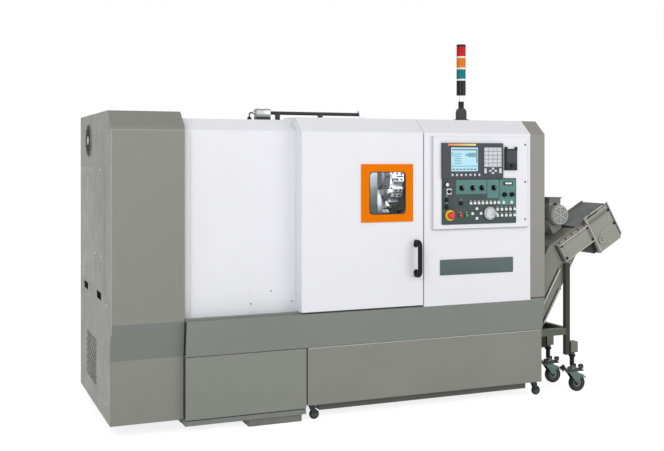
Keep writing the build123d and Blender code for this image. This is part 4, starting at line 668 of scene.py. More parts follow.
class LATHE_OT_finishes(Dressing, Operator):
    """Coats every solid of the machine"""

    bl_idname = "lathe.finishes"
    bl_label = "Coat the solids"

    def dress(self, scene):
        paint = scene.lathe_paint
        cabinet, white, band = tuple(paint.cabinet), tuple(paint.panel), tuple(paint.band)
        zinc = metal("zinc_plate", srgb(96, 112, 108), 0.32, 160.0)
        dark_zinc = metal("dark_zinc", srgb(52, 60, 60), 0.36, 160.0)
        rubber = plastic("tyre_rubber", srgb(15, 17, 17), 0.5, 0.4, 0.25)
        black = plastic("black_plastic", srgb(9, 9, 11), 0.4, gloss=0.22)
        steel = metal("turned_steel", srgb(196, 198, 202), 0.34, 260.0, (6.0, 1.0, 1.0))
        painted_hole_shade = srgb(14, 14, 15)
        coats = {
            # The band's coat crosses the cabinet's front; painted shade darkens the chamfer and the vent
            # plate and paints the walls of the vent, pulls and fan hole near-black; the edges carry painted
            # highlights
            "left_cabinet": painted("cabinet_enamel", cabinet, 0.44, 0.025, 0.08, 0.003, 0.5, (
                ((1, 374), (0, 80), (395, 580), shade_of(band, 0.84)),
                # Painted shade: the chamfer, the same enamel, painted darker than the front
                ((-1, 376), (0, 160), (1563, 1661), 0.88),
                # Painted highlights: light lines on the front-left corner and the chamfer's lower edge
                ((-1, 6), (30, 42), (72, 1560), 1.4), ((-1, 376), (30, 60), (1558, 1562), 1.4),
                # Painted shade: the vent plate darker, and the walls of the vent, pulls and fan hole
                # near-black
                ((-1, 0.6), (492, 850), (180, 438), 0.5), ((0.6, 5.6), (480, 860), (170, 450), painted_hole_shade),
                ((0.6, 30), (330, 486), (660, 710), painted_hole_shade), ((0.6, 30), (788, 944), (660, 710), painted_hole_shade),
                ((0.6, 5.6), (670, 856), (1424, 1610), painted_hole_shade),
            )),
            "lower_left_panel": painted("lower_enamel", srgb(132, 134, 127), 0.46),
            "front_apron": painted("band_enamel", band, 0.46),
            "right_end_cover": painted("end_cover_enamel", srgb(140, 139, 134), 0.44, zones=(
                # Painted shadow: a dark line along the bottom of the cover's front
                ((2452, 2549), (-1, 40), (585, 595), 0.25),
            )),
            "control_box": painted("box_enamel", white, 0.4, 0.012, zones=(
                # Painted shade: the left face darker, and a painted shadow line along the bottom of the front
                ((1790, 1791.6), (-21, 1), (1011, 1542), 0.78),
                ((1790, 2421), (-21, 1), (1011, 1015.6), 0.45),
            )),
            "rear_cover": painted("rear_enamel", srgb(214, 214, 216), 0.46),
            "electrical_door": painted("rear_door_enamel", srgb(222, 222, 225), 0.44),
            "coolant_tank": painted("tank_enamel", cabinet, 0.5, 0.05, 0.15, zones=(
                # Painted shade on the beam under the tank
                ((1049, 2546), (28, 590), (-1, 83), 0.45),
            )),
            "window_frame": painted("frame_enamel", tuple(paint.frame), 0.5, gloss=0.02),
            "window_glass": window_pane("window_pane"),
            "control_unit": plastic("unit_plastic", srgb(56, 59, 67), 0.6),
            "keypad": keyed("keypad_plastic", srgb(44, 44, 50), srgb(208, 208, 214), -36.2),
            "operator_panel": keyed("operator_film", srgb(22, 52, 50), srgb(232, 232, 232), -24.6),
            "emergency_stop": plastic("stop_plastic", srgb(214, 24, 22), 0.3, 0.05),
            "cycle_start_button": plastic("start_plastic", srgb(38, 142, 82), 0.36, 0.05),
            "feed_hold_button": plastic("hold_plastic", srgb(206, 40, 36), 0.36, 0.05),
            "card_cover": plastic("card_cover_plastic", srgb(28, 29, 35), 0.5, gloss=0.3),
            "handwheel": plastic("handwheel_plastic", srgb(208, 211, 214), 0.35, 0.05),
            "tower_stand": tower_finish("tower_plastic"),
            "tower_lens_green": lens("green_lens", srgb(0, 122, 134)),
            "tower_lens_amber": lens("amber_lens", srgb(236, 128, 6)),
            "tower_lens_red": lens("red_lens", srgb(206, 10, 16)),
            # The guard is dark paint with a painted highlight: its bright middle out to 25 mm stands in for a
            # glint; the rim is cabinet paint
            "fan_guard": reach_finish(
                "guard_black_with_painted_highlight", FAN, (0.0, 25.0), srgb(10, 11, 13), srgb(228, 232, 236), 0.0, 0.5,
                (86.6, 94.0, cabinet),
            ),
            "fan_rotor": plastic("fan_plastic", srgb(16, 17, 20), 0.4),
            "sole_blocks": cast("sole_iron", srgb(112, 112, 107)),
            "splash_wall": painted("splash_enamel", srgb(92, 94, 96), 0.5),
            "turret": reach_finish(
                "turret_steel", TURRET, (165.5, 400.0), srgb(92, 94, 98), srgb(176, 178, 182), 0.1, 0.45,
            ),
            "head_drum": metal("drum_steel", srgb(128, 130, 128), 0.45, 120.0),
            "chuck": metal("chuck_steel", srgb(188, 190, 194), 0.36, 140.0),
            "door_cylinder": cylinder_finish("cylinder_coat"),
            "door_carriage": metal("bare_aluminium", srgb(196, 197, 200), 0.38, 200.0),
            "conveyor_case": painted("conveyor_enamel", tuple(paint.conveyor), 0.46, 0.05, 0.15, zones=(
                # Painted light: the near sides of the cover and the head are painted lighter than the rest of
                # the case
                ((2600, 3160), (10, 42), (700, 1150), 1.4),
            )),
            "conveyor_stand": painted("stand_enamel", srgb(80, 82, 74), 0.42, gloss=0.1, zones=(
                # Painted shade and light: the upright darker, the brace and the jack block lighter than the
                # stand's enamel
                ((2720, 2751.5), (-3, 330), (227, 781), 0.7), ((2545, 2720.5), (-3, 330), (349, 391), 1.55),
                ((2751.6, 2802), (-3, 330), (241, 307), 2.3),
            )),
            "conveyor_hood": painted("hood_enamel", srgb(94, 95, 96), 0.5),
            "conveyor_motor": painted("motor_enamel", srgb(156, 157, 153), 0.45, 0.05, 0.2, zones=(
                # Painted shade on the upper part of the terminal box
                ((2690, 2790), (150, 262), (1140, 1180), 0.5),
            )),
        }
        for coat, nodes in (
            (painted("panel_enamel", white, 0.4, 0.012), ("canopy", "right_panel", "door_panel")),
            (black, ("door_handle", "key_switch", *KNOBS)),
            (cast("machine_casting", srgb(122, 126, 122)), ("bed", "headstock", "saddle", "cross_slide")),
            (steel, ("spindle", "jaw_1", "jaw_2", "jaw_3")),
        ):
            coats.update(dict.fromkeys(nodes, coat))
        for label in ("left_tank", "right_tank", "front_stand", "rear_stand"):
            coats[label + "_caster_fork"] = zinc if "stand" in label else dark_zinc
            coats[label + "_caster_wheel"] = rubber
        for node, coat in coats.items():
            solid = frame["nodes"][node]
            solid.data.materials.clear()
            solid.data.materials.append(coat)


class LATHE_OT_window_trim(Dressing, Operator):
    """Adds the window's rubber, the door's edge seal and the handle's feet"""

    bl_idname = "lathe.window_trim"
    bl_label = "Window trim"

    def dress(self, scene):
        width = scene.lathe_trim.gasket_width
        gasket = Piece("window_gasket")
        gasket.hoop(rounded(*WINDOW, 27, grow=1), rounded(*WINDOW, 20, grow=-width), (-5, 3.5))
        gasket.hoop(rounded(*WINDOW, 27.5, grow=1.5), rounded(*WINDOW, 24, grow=-2), (-9, -7.6))
        gasket.seat(plastic("gasket_rubber", srgb(22, 22, 24), 0.6, 0.3), "handle_black", "door")
        seal = Piece("door_edge_seal").slab((1735.6, 1738.8), (-0.6, 12), DOOR_HEIGHTS, 0.4)
        seal.seat(plastic("seal_rubber", srgb(70, 71, 74), 0.6, 0.2), "handle_black", "door")
        feet = Piece("handle_feet")
        for height in (778, 932):
            feet.turned((1690, 0.2, height), FRONT, [(0, 16), (2.4, 16), (3.4, 14.6)], 28)
        feet.seat("black_plastic", "handle_black", "door")


class LATHE_OT_plates(Dressing, Operator):
    """Adds the bare name plate, the service plate, and the hems of the canopy and the tank"""

    bl_idname = "lathe.plates"
    bl_label = "Bare plates"

    def dress(self, scene):
        depth = scene.lathe_trim.plate_depth
        x, z = (1842, 2328), (751, 840)
        plate = Piece("name_plate").prism(rounded(x, z, 3, 3), (-depth, 0.5), 0.4)
        plate.seat(painted("plate_enamel", srgb(76, 92, 88), 0.4), "band_grey")
        rim = Piece("name_plate_rim")
        rim.hoop(rounded(x, z, 3, 3), rounded(x, z, 2, 3, -3), (-depth - 0.6, -depth + 0.2))
        rim.seat(painted("plate_rim_enamel", srgb(104, 116, 112), 0.4), "band_grey")
        hem = Piece("canopy_hem").slab((376, 418), (92.2, 94.4), DOOR_HEIGHTS, 0.8)
        hem.seat("panel_enamel", "panel_white")
        seam = Piece("canopy_seam").slab((418.4, 421), (93.2, 94.4), DOOR_HEIGHTS, 0.2)
        seam.seat(painted("seam_enamel", srgb(204, 204, 208), 0.5), "panel_white")
        # The tank's hem is painted lighter than the tank: a painted highlight along its top edge
        bead = Piece("tank_hem").slab((1052, 2544), (23.4, 26), (388.6, 393.4), 0.9)
        bead.seat(painted("hem_painted_highlight", srgb(186, 186, 180), 0.3), "cabinet_grey")
        service = Piece("service_plate")
        service.prism(rounded((738, 987), (580, 726), 4, 3), (SERVICE_FACE, 94.3), 0.5)
        service.seat("panel_enamel", "panel_white")


class LATHE_OT_screws(Dressing, Operator):
    """Sets the screws of the panels and the bolts of the conveyor, the turret and the chuck"""

    bl_idname = "lathe.screws"
    bl_label = "Screws"

    def dress(self, scene):
        trim = scene.lathe_trim
        bare = metal("bare_screw_steel", srgb(214, 215, 214))
        plain = metal("screw_steel", srgb(72, 72, 72), 0.35, 200.0)
        black = metal("black_oxide", srgb(40, 41, 44), 0.4, 200.0)
        sheet = ((1015, 1350), (701, 1353), (371, 1356), (512, 901), (320, 902), (981, 760))
        sides = [((SIDE_SHEET_FACE, y, z), LEFT) for y, z in sheet]
        sides += [((0, 168, 663), LEFT), ((0, 164, 164), LEFT)]
        fronts = [((2400, -20, z), FRONT) for z in (1496, 1278, 1060)]
        plate = [((x, SERVICE_FACE, z), FRONT) for x, z in ((862, 703), (749, 640), (982, 642))]
        bolts = []
        for along, across, y in (
            (-108, 42, 21), (108, 42, 21), (-108, -42, 21), (108, -42, 21),
            (308, 48, 40), (308, -48, 40), (170, 92, 40), (290, 92, 40),
        ):
            x, z = on_head(along, across)
            bolts.append(((x, y, z), FRONT))
        sockets = []
        for place in range(6):
            out = outward(math.radians(30 + 60 * place))
            sockets.append((beside(SPINDLE, 1586, out * 104.6), out))
        screw = unit_screw()
        repeat("side_screws", screw, sides, trim.screw_radius * 0.8, bare)
        repeat("panel_screws", screw, fronts, trim.screw_radius * 0.9, plain)
        repeat("service_screws", screw, plate, trim.screw_radius * 0.62, plain)
        repeat("conveyor_bolts", screw, bolts, trim.bolt_radius, black)
        repeat("turret_bolts", screw, self.turret_places(), 6.0, black, "turret")
        repeat("chuck_sockets", screw, sockets, 9.0, black, "spindle")

    def turret_places(self):
        """Bolts on the disc's face and on top and in front of each holder."""
        places = []
        for station in range(STATIONS):
            out = outward(math.tau * station / STATIONS)
            side = Vector((0.0, -out.z, out.y))
            spots = [(1745, reach, 0, LEFT) for reach in (120, 146)]
            spots += [(x, 199, across, out) for x in (1776, 1804) for across in (-18, 18)]
            spots += [(1754.5, 180, across, LEFT) for across in (-21, 21)]
            for x, reach, across, facing in spots:
                places.append((beside(TURRET, x, out * reach + side * across), facing))
        return places


class LATHE_OT_tool_trim(Dressing, Operator):
    """Adds clamp slots and inserts to the tool holders"""

    bl_idname = "lathe.tool_trim"
    bl_label = "Tool trim"

    def dress(self, scene):
        y, z = TURRET
        slots, inserts = Piece("holder_slots"), Piece("tool_inserts")
        for station in range(STATIONS):
            turn = ((0, y, z), RIGHT, math.tau * station / STATIONS)
            slots.swung(*turn, (1757, 1818), (y + 198.6, y + 199.5), (z - 3, z + 3), 0.1)
            if station % 2 == 0:
                inserts.swung(*turn, (1741.5, 1752), (y + 206, y + 214.6), (z + 9.6, z + 13.4), 0.6)
        slots.seat("black_oxide", "handle_black", "turret")
        inserts.seat(metal("insert_coat", srgb(214, 176, 84), 0.3, 300.0), "machined_steel", "turret")


class LATHE_OT_screen(Dressing, Operator):
    """Fills the screen with a plain drawing and adds its rim, the coloured strip and the keypad's field"""

    bl_idname = "lathe.screen"
    bl_label = "Screen"

    def dress(self, scene):
        left, right = SCREEN[0]
        face = Piece("screen_face").prism(rounded(*SCREEN, 3, 4, -0.3), (SCREEN_FACE, -30.8), 0.2)
        face.seat(lit("screen_light", srgb(150, 190, 205), 0.42), "unit_grey")
        dark = [
            ((left + 8, right - 6), (1462, 1468)), ((left + 10, left + 14), (1428, 1452)),
            ((right - 12, right - 6), (1392, 1462)),
        ]
        dark += [((left + 10 + key * 23.6, left + 27 + key * 23.6), (1351, 1357)) for key in range(7)]
        soft = [
            ((left + 4, right - 4), (1370, 1374)), ((2010, 2058), (1424, 1448)), ((1990, 2010), (1430, 1442)),
        ]
        for row in range(5):
            soft.append(((left + 22, left + 70 - 6 * (row % 2)), (1386 + 13 * row, 1391 + 13 * row)))
        for name, marks, coat in (
            ("screen_lines", dark, lit("screen_dark", srgb(38, 66, 92), 0.25)),
            ("screen_drawing", soft, lit("screen_grey", srgb(80, 140, 150), 0.3)),
        ):
            drawing = Piece(name)
            for x, z in marks:
                drawing.slab(x, (SCREEN_FACE - 0.3, SCREEN_FACE), z, 0.05)
            drawing.seat(coat, "unit_grey")
        rim = Piece("screen_rim")
        rim.hoop(rounded((left - 5, right + 5), (1338, 1484), 6), rounded(*SCREEN, 3), (-35, -33))
        rim.seat(plastic("rim_plastic", srgb(48, 48, 54), 0.45), "unit_grey")
        # The strip is film, not a lamp; its faint glow is painted light
        strip = Piece("unit_strip").slab(STRIP, (-34.8, -33.8), (1488.5, 1499.5), 0.2)
        strip.seat(lit("strip_film_painted_glow", srgb(228, 118, 48), 0.06, srgb(232, 212, 128), STRIP), "frame_orange")
        field = Piece("keypad_field").prism(rounded((2110, 2228), (1366, 1480), 2, 3), (-36.5, -35.8), 0.1)
        field.seat(plastic("field_plastic", srgb(150, 151, 158)), "key_white")


class LATHE_OT_operator_fields(Dressing, Operator):
    """Adds the fields, dial ticks, pointers, small knobs, lamps and plates of the operator panel"""

    bl_idname = "lathe.operator_fields"
    bl_label = "Operator panel"

    def dress(self, scene):
        face = PANEL_FACE
        film = (face - 0.4, face + 0.2)
        fields = Piece("panel_fields")
        for x, low in (((1934, 2133), 1213), ((2138, 2217), 1186), ((2222, 2330), 1146)):
            fields.prism(rounded(x, (low, 1293), 4, 3), film, 0.1)
        fields.seat(plastic("field_film", srgb(74, 126, 121), 0.5, 0.05), "operator_green")
        dark = Piece("panel_column").prism(rounded((1846, 1928), (1126, 1297), 4, 3), film, 0.1)
        edge = ((1842, 2334), (1040, 1301))
        dark.hoop(rounded(*edge, 5), rounded(*edge, 4, grow=-2.5), (face - 0.9, face + 0.3))
        # Painted shadow: a dark ring around the handwheel, in the column's film
        dark.hoop(circle(*HANDWHEEL, 47), circle(*HANDWHEEL, 38), (face - 0.8, face + 0.2))
        dark.seat(plastic("column_film", srgb(24, 40, 40), 0.45, 0.05), "operator_green")
        collar = Piece("stop_collar")
        line = [(0, 30.5), (3.5, 30.5), (6, 28), (6, 16), (0, 16), (0, 30.5)]
        collar.turned((1894, face + 0.2, 1092), FRONT, line, 40)
        collar.seat(plastic("collar_plastic", srgb(246, 200, 36), 0.4, 0.05), "frame_orange")
        pale = Piece("panel_plates")
        key_plate = rounded((1872, 1904), (1212, 1244), 3)
        pale.hoop(key_plate, circle(1888, 1228, 11.6, 24), (face - 1.6, face + 0.2))
        x, z = LAMP_SOCKET
        pale.turned((x, -31, z), FRONT, [(0, 10.5), (3, 10.5), (5, 8), (5.6, 4)], 28)
        pale.slab((2256, 2302), (METER_FACE - 1.2, METER_FACE), (1266, 1276), 0.4)
        pale.seat(plastic("plate_plastic", srgb(238, 238, 236), 0.4, 0.05), "key_white")
        self.add_knobs()
        for body, x in KNOBS.items():
            pointer = Piece(body + "_pointer")
            pointer.slab((x - 1.2, x + 1.2), (-44.8, -43.6), (KNOB_HEIGHT + 1, KNOB_HEIGHT + 12), 0.2)
            pointer.seat(plastic(body + "_mark", srgb(176, 176, 172), 0.5, 0.05), "key_white", body)
        self.add_marks(scene.lathe_trim.dial_ticks)
        dial = Piece("handwheel_trim")
        x, z = HANDWHEEL
        dial.ring((x, -40.2, z), FRONT, 33, 30.6, 0.6)
        dial.turned((x, -32.6, z), FRONT, [(0, 13), (2, 12.6), (3.2, 9)], 28)
        dial.seat(plastic("dial_plastic", srgb(72, 75, 78), 0.4, 0.05), "key_white", "handwheel")
        lamp = unit_screw()
        lamps = [((1940 + 23 * place, face, 1121), FRONT) for place in range(3)]
        repeat("panel_lamps", lamp, lamps[:2], 4.0, "hold_plastic")
        repeat("ready_lamp", lamp, lamps[2:], 4.0, "start_plastic")

    def add_knobs(self):
        """The small selectors, the lamp's socket, three round buttons and the meter's frame."""
        knobs = Piece("small_knobs")
        for x, z in ((2255, 1206), (2305, 1206)):
            line = [(0, 14.5), (4, 14), (9, 12.4), (13.4, 12), (14.2, 11.2)]
            knobs.turned((x, PANEL_FACE, z), FRONT, line, 28)
            knobs.slab((x - 3, x + 3), (PANEL_FACE - 20, PANEL_FACE - 13.5), (z - 11, z + 11), 1)
        x, z = LAMP_SOCKET
        knobs.turned((x, PANEL_FACE, z), FRONT, [(0, 15), (5, 14.6), (7.6, 12)], 28)
        for x, z in ((1872.4, 1180.1), (1872.4, 1139.9), (1965.5, 1159.9)):
            line = [(0, 13), (3, 13), (4.5, 10.4), (8.4, 10), (9.2, 8.6)]
            knobs.turned((x, PANEL_FACE, z), FRONT, line, 28)
        meter = rounded((2249, 2309), (1260.5, 1281.5), 2, 3)
        knobs.prism(meter, (METER_FACE - 0.6, PANEL_FACE + 0.2), 0.4)
        knobs.seat("black_plastic", "handle_black")

    def add_marks(self, count):
        """Ticks around each knob and short lines over the keys."""
        marks = Piece("dial_ticks")
        film = (PANEL_FACE - 0.6, PANEL_FACE)
        for x in KNOBS.values():
            for step in range(count):
                angle = math.radians(-130 + 260 * step / (count - 1))
                sine, cosine = math.sin(angle), math.cos(angle)
                tick = [(x + reach * sine + half * cosine, KNOB_HEIGHT + reach * cosine - half * sine)
                        for reach, half in ((18.5, -0.6), (18.5, 0.6), (23.5, 0.6), (23.5, -0.6))]
                marks.prism(tick, film, 0)
        rows = [(2029 + 26.5 * place, 1172) for place in range(8)] + [(2248, 1172), (2302, 1172)]
        rows += [(2207 + 29 * place, height) for place in range(5) for height in (1098, 1133)]
        rows += [(1872.4, 1163), (1872.4, 1202), (1965.5, 1178), (1962, 1107), (2001, 1107)]
        for x, z in rows:
            marks.slab((x - 6, x + 6), film, (z, z + 2.2), 0)
        marks.seat(plastic("tick_film", srgb(214, 222, 218), 0.5, 0.05), "key_white")


class LATHE_OT_card_trim(Dressing, Operator):
    """Adds the card cover's edge, prongs, knob and field"""

    bl_idname = "lathe.card_trim"
    bl_label = "Card cover trim"

    def dress(self, scene):
        trim = Piece("card_cover_trim")
        trim.slab((2256.5, 2266), (-32.6, -29.5), (1349, 1470), 1)
        trim.slab((2262, 2338), (-32.6, -29.5), (1348, 1357), 1)
        for x in (2258, 2326):
            trim.slab((x, x + 12), (-33.6, -22), (1464, 1484), 1.5)
        trim.turned((2302, -29.8, 1374), FRONT, [(0, 9), (6, 8.6), (9, 7), (9.6, 4)])
        trim.seat("black_plastic", "handle_black", "card_cover")
        field = Piece("card_cover_field").prism(rounded((2270, 2334), (1390, 1462), 3, 3), (-30.9, -30), 0.2)
        field.seat(plastic("cover_field_plastic", srgb(40, 42, 50), 0.55), "unit_grey", "card_cover")


class LATHE_OT_cabinet_trim(Dressing, Operator):
    """Adds the vent's filter, the fan's shroud, the ends of the band and panels, and the side sheet"""

    bl_idname = "lathe.cabinet_trim"
    bl_label = "Cabinet trim"

    def dress(self, scene):
        foam = Piece("vent_filter").slab((6.5, 14), (470, 860), (150, 470), 1)
        foam.seat(plastic("filter_foam", srgb(20, 20, 22), 0.8, 0.6), "handle_black")
        line = [(0, 97), (62, 97), (62, 20), (58, 20), (58, 92), (0, 92), (0, 97)]
        Piece("fan_shroud").turned((5.5, *FAN), RIGHT, line, 40).seat("black_plastic", "handle_black")
        ends = (378.2, 381)
        # The left ends of the band and the lower panel are painted dark: painted shade
        apron = Piece("apron_ends").prism([(113, 396), (26, 396), (1.2, 579), (113, 579)], ends, 0.4, "X")
        apron.seat(painted("apron_end_painted_shade", srgb(52, 56, 53), 0.5), "band_grey")
        rail = Piece("rail_end").slab((378.6, 444.6), (30, 60), (579.6, 589.6), 0.6)
        rail.seat("band_enamel", "band_grey")
        lower = Piece("lower_panel_end").prism([(113, 71), (26, 71), (26, 391), (113, 391)], ends, 0.4, "X")
        lower.seat(painted("lower_end_painted_shade", srgb(70, 71, 67), 0.5), "cabinet_grey")
        sheet = Piece("side_sheet")
        outline = [(206, 722), (206, 1372), (1050, 1372), (1050, 722)]
        sheet.prism(outline, (SIDE_SHEET_FACE, 0.3), 0.4, "X")
        sheet.seat(painted("side_enamel", tuple(scene.lathe_paint.cabinet), 0.4, edge=0.001), "cabinet_grey")
        grip = Piece("side_grip").slab((-5, 0.5), (380, 388), (812, 858), 1.5)
        grip.seat(plastic("grip_plastic", srgb(170, 171, 164), 0.4), "cabinet_grey")


class LATHE_OT_roof_trim(Dressing, Operator):
    """Adds the door cylinder's fittings, the roof's grommets and the screws up there"""

    bl_idname = "lathe.roof_trim"
    bl_label = "Roof trim"

    def dress(self, scene):
        fittings = Piece("cylinder_fittings")
        fittings.turned((850.5, *CYLINDER), LEFT, [(0, 11), (7, 11), (8, 9), (16, 9), (17, 7)], 6)
        fittings.slab((852, 932), (306.6, 308.4), (1662, 1684), 0.5)
        fittings.turned((928, *CYLINDER), RIGHT, [(0, 16), (8, 16), (10, 12)], 28)
        for x in (866, 918):
            fittings.turned((x, CYLINDER[0], 1692.4), UP, [(0, 8), (5, 8), (6, 6)], 6)
        fittings.seat(metal("fitting_nickel", srgb(206, 206, 208), 0.22, 80.0), "machined_steel")
        dark = Piece("roof_grommets")
        dark.turned((816, CYLINDER[0], 1626.6), UP, [(0, 20), (3, 19), (6, 13), (16, 11), (22, 9)])
        dark.slab((846, 938), (302, 358), (1626.8, 1631), 1)
        foot = [(2074, 1643.4), (2178, 1643.4), (2172, 1650), (2148, 1654), (2104, 1654), (2080, 1650)]
        dark.prism(foot, (236, 264), 1)
        dark.seat("black_plastic", "handle_black")
        screws = [((2126 + 43 * x, 250 + 24 * y, 1644), UP) for x in (-1, 1) for y in (-1, 1)]
        screws += [((852, 306 + 48 * y, 1631), UP) for y in (0, 1)]
        repeat("roof_screws", unit_screw(), screws, 4.5, "screw_steel")


class LATHE_OT_rear_trim(Dressing, Operator):
    """Adds the electrical door's louvres and switch, and the plate, ducts and modules behind it"""

    bl_idname = "lathe.rear_trim"
    bl_label = "Rear trim"

    def dress(self, scene):
        louvre = unit_prism("louvre_pattern", [(-0.4, 0), (-0.4, 14), (4.5, 10), (9, 0)], 60, 1.2)
        places = [((x, REAR_DOOR_FACE, low + 24 * row), UP)
                  for x in (1560, 1700, 1840) for row in range(9) for low in (430, 1290)]
        repeat("door_louvres", louvre, places, 1.0, "rear_door_enamel", "electrical_door")
        switch = Piece("main_switch")
        switch.prism(rounded((1415, 1485), (1015, 1085), 6, 3), (REAR_DOOR_FACE, 1478.5), 0.8)
        switch.turned((1450, 1478, 1050), BACK, [(0, 27), (3, 27), (4, 24)], 32)
        switch.slab((1444, 1456), (1481, 1488), (1028, 1072), 2)
        switch.seat("black_plastic", "handle_black", "electrical_door")
        rails = (560, 860, 1160)
        plate = Piece("mounting_plate").slab((1290, 2060), (1099.5, 1103), (400, 1510), 0.8)
        for height in rails:
            plate.slab((1330, 2020), (1103, 1112), (height - 17.5, height + 17.5), 0.8)
        plate.seat(metal("plate_zinc", srgb(176, 178, 176), 0.42, 70.0), "fork_zinc")
        ducts = Piece("wire_ducts")
        for height in (470, 700, 1000, 1300, 1440):
            ducts.slab((1310, 2040), (1102.5, 1158), (height - 25, height + 25), 1.5)
            for start in range(1318, 1318 + 15 * 48, 15):
                ducts.slab((start, start + 6), (1157, 1159), (height - 20, height + 20), 0)
        ducts.seat(plastic("duct_plastic", srgb(142, 146, 148), 0.55), "unit_grey")
        line = [(0, -48), (0, 48), (52, 48), (52, 24), (68, 24), (68, -24), (52, -24), (52, -48)]
        module = unit_prism("module_pattern", line, 15.5, 1)
        # Every sixth place on a rail stays free, shifted from rail to rail
        places = [((1370 + 36 * place, 1111.5, height), UP)
                  for height in rails for place in range(17) if (place + height // 300) % 6]
        pale = plastic("module_plastic", srgb(206, 206, 202))
        repeat("rail_modules", module, places, 1.0, pale)


class LATHE_OT_conveyor_trim(Dressing, Operator):
    """Adds the conveyor's flanges and bearing bolts in painted highlights, ribs, painted shadow lines, chip
    flap and bolts, and the motor's grille over painted shade, lid and gland
    """

    bl_idname = "lathe.conveyor_trim"
    bl_label = "Conveyor trim"

    def dress(self, scene):
        # Painted highlights: the flanges and the bearing bolts are painted lighter than the case
        bright = painted("flange_painted_highlight", srgb(190, 188, 183), 0.36)
        edges = Piece("conveyor_flanges")
        for along, across, y in (
            ((-124, 118), (54, 58), (16, 55)), ((-124, 118), (46, 58), (16, 19)),
            ((-122, 122), (-58, -53), (18, 24)), ((122, 128), (-150, 96), (17, 41)),
            ((128, 326), (90, 95), (34, 41)), ((320, 326), (-130, 92), (35, 41)),
        ):
            edges.prism(corners(on_head, along, across), y, 0.8)
        for along, across in (((-446, -82), (-55, -46)), ((-418, -190), (-114, -105))):
            edges.prism(corners(on_incline, along, across), (46.2, 47.4), 0.4)
        edges.seat(bright, "conveyor_grey")
        ribs = Piece("head_ribs")
        for along, across, y, edge in (
            ((132, 314), (26, 36), (36.6, 40.4), 1.2), ((132, 314), (56, 60), (36.6, 40.4), 1.2),
            ((134, 230), (-132, -42), (37.4, 40.4), 1), ((-96, 96), (-30, 30), (19.2, 21.4), 0.8),
        ):
            ribs.prism(corners(on_head, along, across), y, edge)
        ribs.seat("conveyor_enamel", "conveyor_grey")
        # Painted shadows: dark lines beside the flanges and the rails
        shadow_strips = Piece("conveyor_seams")
        for along, across, y in (
            ((-122, 118), (41, 45), (19.8, 21.3)), ((128.6, 132), (-132, 88), (38.6, 40.3)),
            ((-129, -124.6), (-56, 52), (50, 55.3)), ((132, 318), (84, 89), (38.4, 40.3)),
            ((-122, 122), (-64, -58.6), (50, 55.3)), ((313, 318), (-128, 84), (38.6, 40.3)),
        ):
            shadow_strips.prism(corners(on_head, along, across), y, 0.2)
        for along, across in (((-446, -82), (-43.6, -38)), ((-418, -190), (-102.6, -97))):
            shadow_strips.prism(corners(on_incline, along, across), (53.6, 55.3), 0.2)
        shadow_strips.seat(painted("painted_shadow_enamel", srgb(52, 53, 50), 0.5), "conveyor_grey")
        slot = Piece("hood_slot").prism(corners(on_head, (130, 236), (76, 86)), (38.6, 40.4), 0.4)
        flap = ((58, -72), (122, -72), (122, -140), (100, -146), (84, -118), (66, -110))
        slot.prism([on_head(*place) for place in flap], (58, 268), 3)
        slot.seat(plastic("flap_rubber", srgb(24, 32, 30), 0.55, 0.5), "handle_black")
        screw = unit_screw()
        middle = on_head(182, -87)
        turns = [math.radians(45 + 90 * turn) for turn in range(4)]
        spots = [slanted(middle, HEAD_TILT, 52 * math.cos(turn), 52 * math.sin(turn)) for turn in turns]
        places = [((x, 37.4, z), FRONT) for x, z in spots]
        # The bearing bolts take the same painted highlight
        repeat("bearing_bolts", screw, places, 5.5, bright)
        square = Vector((-math.sin(HEAD_TILT), 0.0, math.cos(HEAD_TILT)))
        places = [((x, 36, z), square) for x, z in (on_head(along, 58) for along in range(-104, 105, 52))]
        repeat("flange_bolts", screw, places, 6.5, "black_oxide")
        self.add_motor_trim()

    def add_motor_trim(self):
        """The motor's grille over a disc of painted shade, painted shade strips on the head and the cover,
        the lid of the terminal box and its gland.
        """
        x, z = MOTOR
        # Painted shade: a dark disc under the grille and strips on the head and the cover
        shade_patches = Piece("grille_ground").turned((x, 102.6, z), FRONT, [(0, 53), (0.9, 52.6), (1, 10)], 40)
        shade_patches.prism(corners(on_head, (134, 316), (40, 54)), (38.8, 40.4), 0.4)
        shade_patches.prism(corners(on_head, (100, 121), (-44, 40)), (19.6, 21.2), 0.4)
        shade_patches.seat(painted("painted_shade_enamel", srgb(108, 109, 103), 0.5), "conveyor_grey")
        grille = Piece("motor_grille")
        for outer, inner in ((54, 47), (38, 32), (23, 18)):
            grille.ring((x, 103, z), FRONT, outer, inner, 2.6)
        for spoke in range(6):
            turn = ((x, 102, z), FRONT, spoke * math.pi / 3)
            grille.swung(*turn, (x - 2.5, x + 2.5), (100.8, 102.4), (z + 4.5, z + 49.5), 0.4)
        grille.post((x, 103, z), FRONT, 7, 3.2, 1)
        grille.seat(painted("grille_enamel", srgb(176, 177, 172), 0.36), "motor_grey")
        lid = Piece("terminal_lid").slab((x - 47, x + 47), (155, 259), (1168, 1176), 2)
        lid.seat("motor_enamel", "motor_grey")
        gland = Piece("terminal_gland")
        gland.turned((x, 158, 1130), FRONT, [(0, 12), (4, 12), (5, 9), (14, 8), (15, 6)], 20)
        gland.seat("black_plastic", "handle_black")


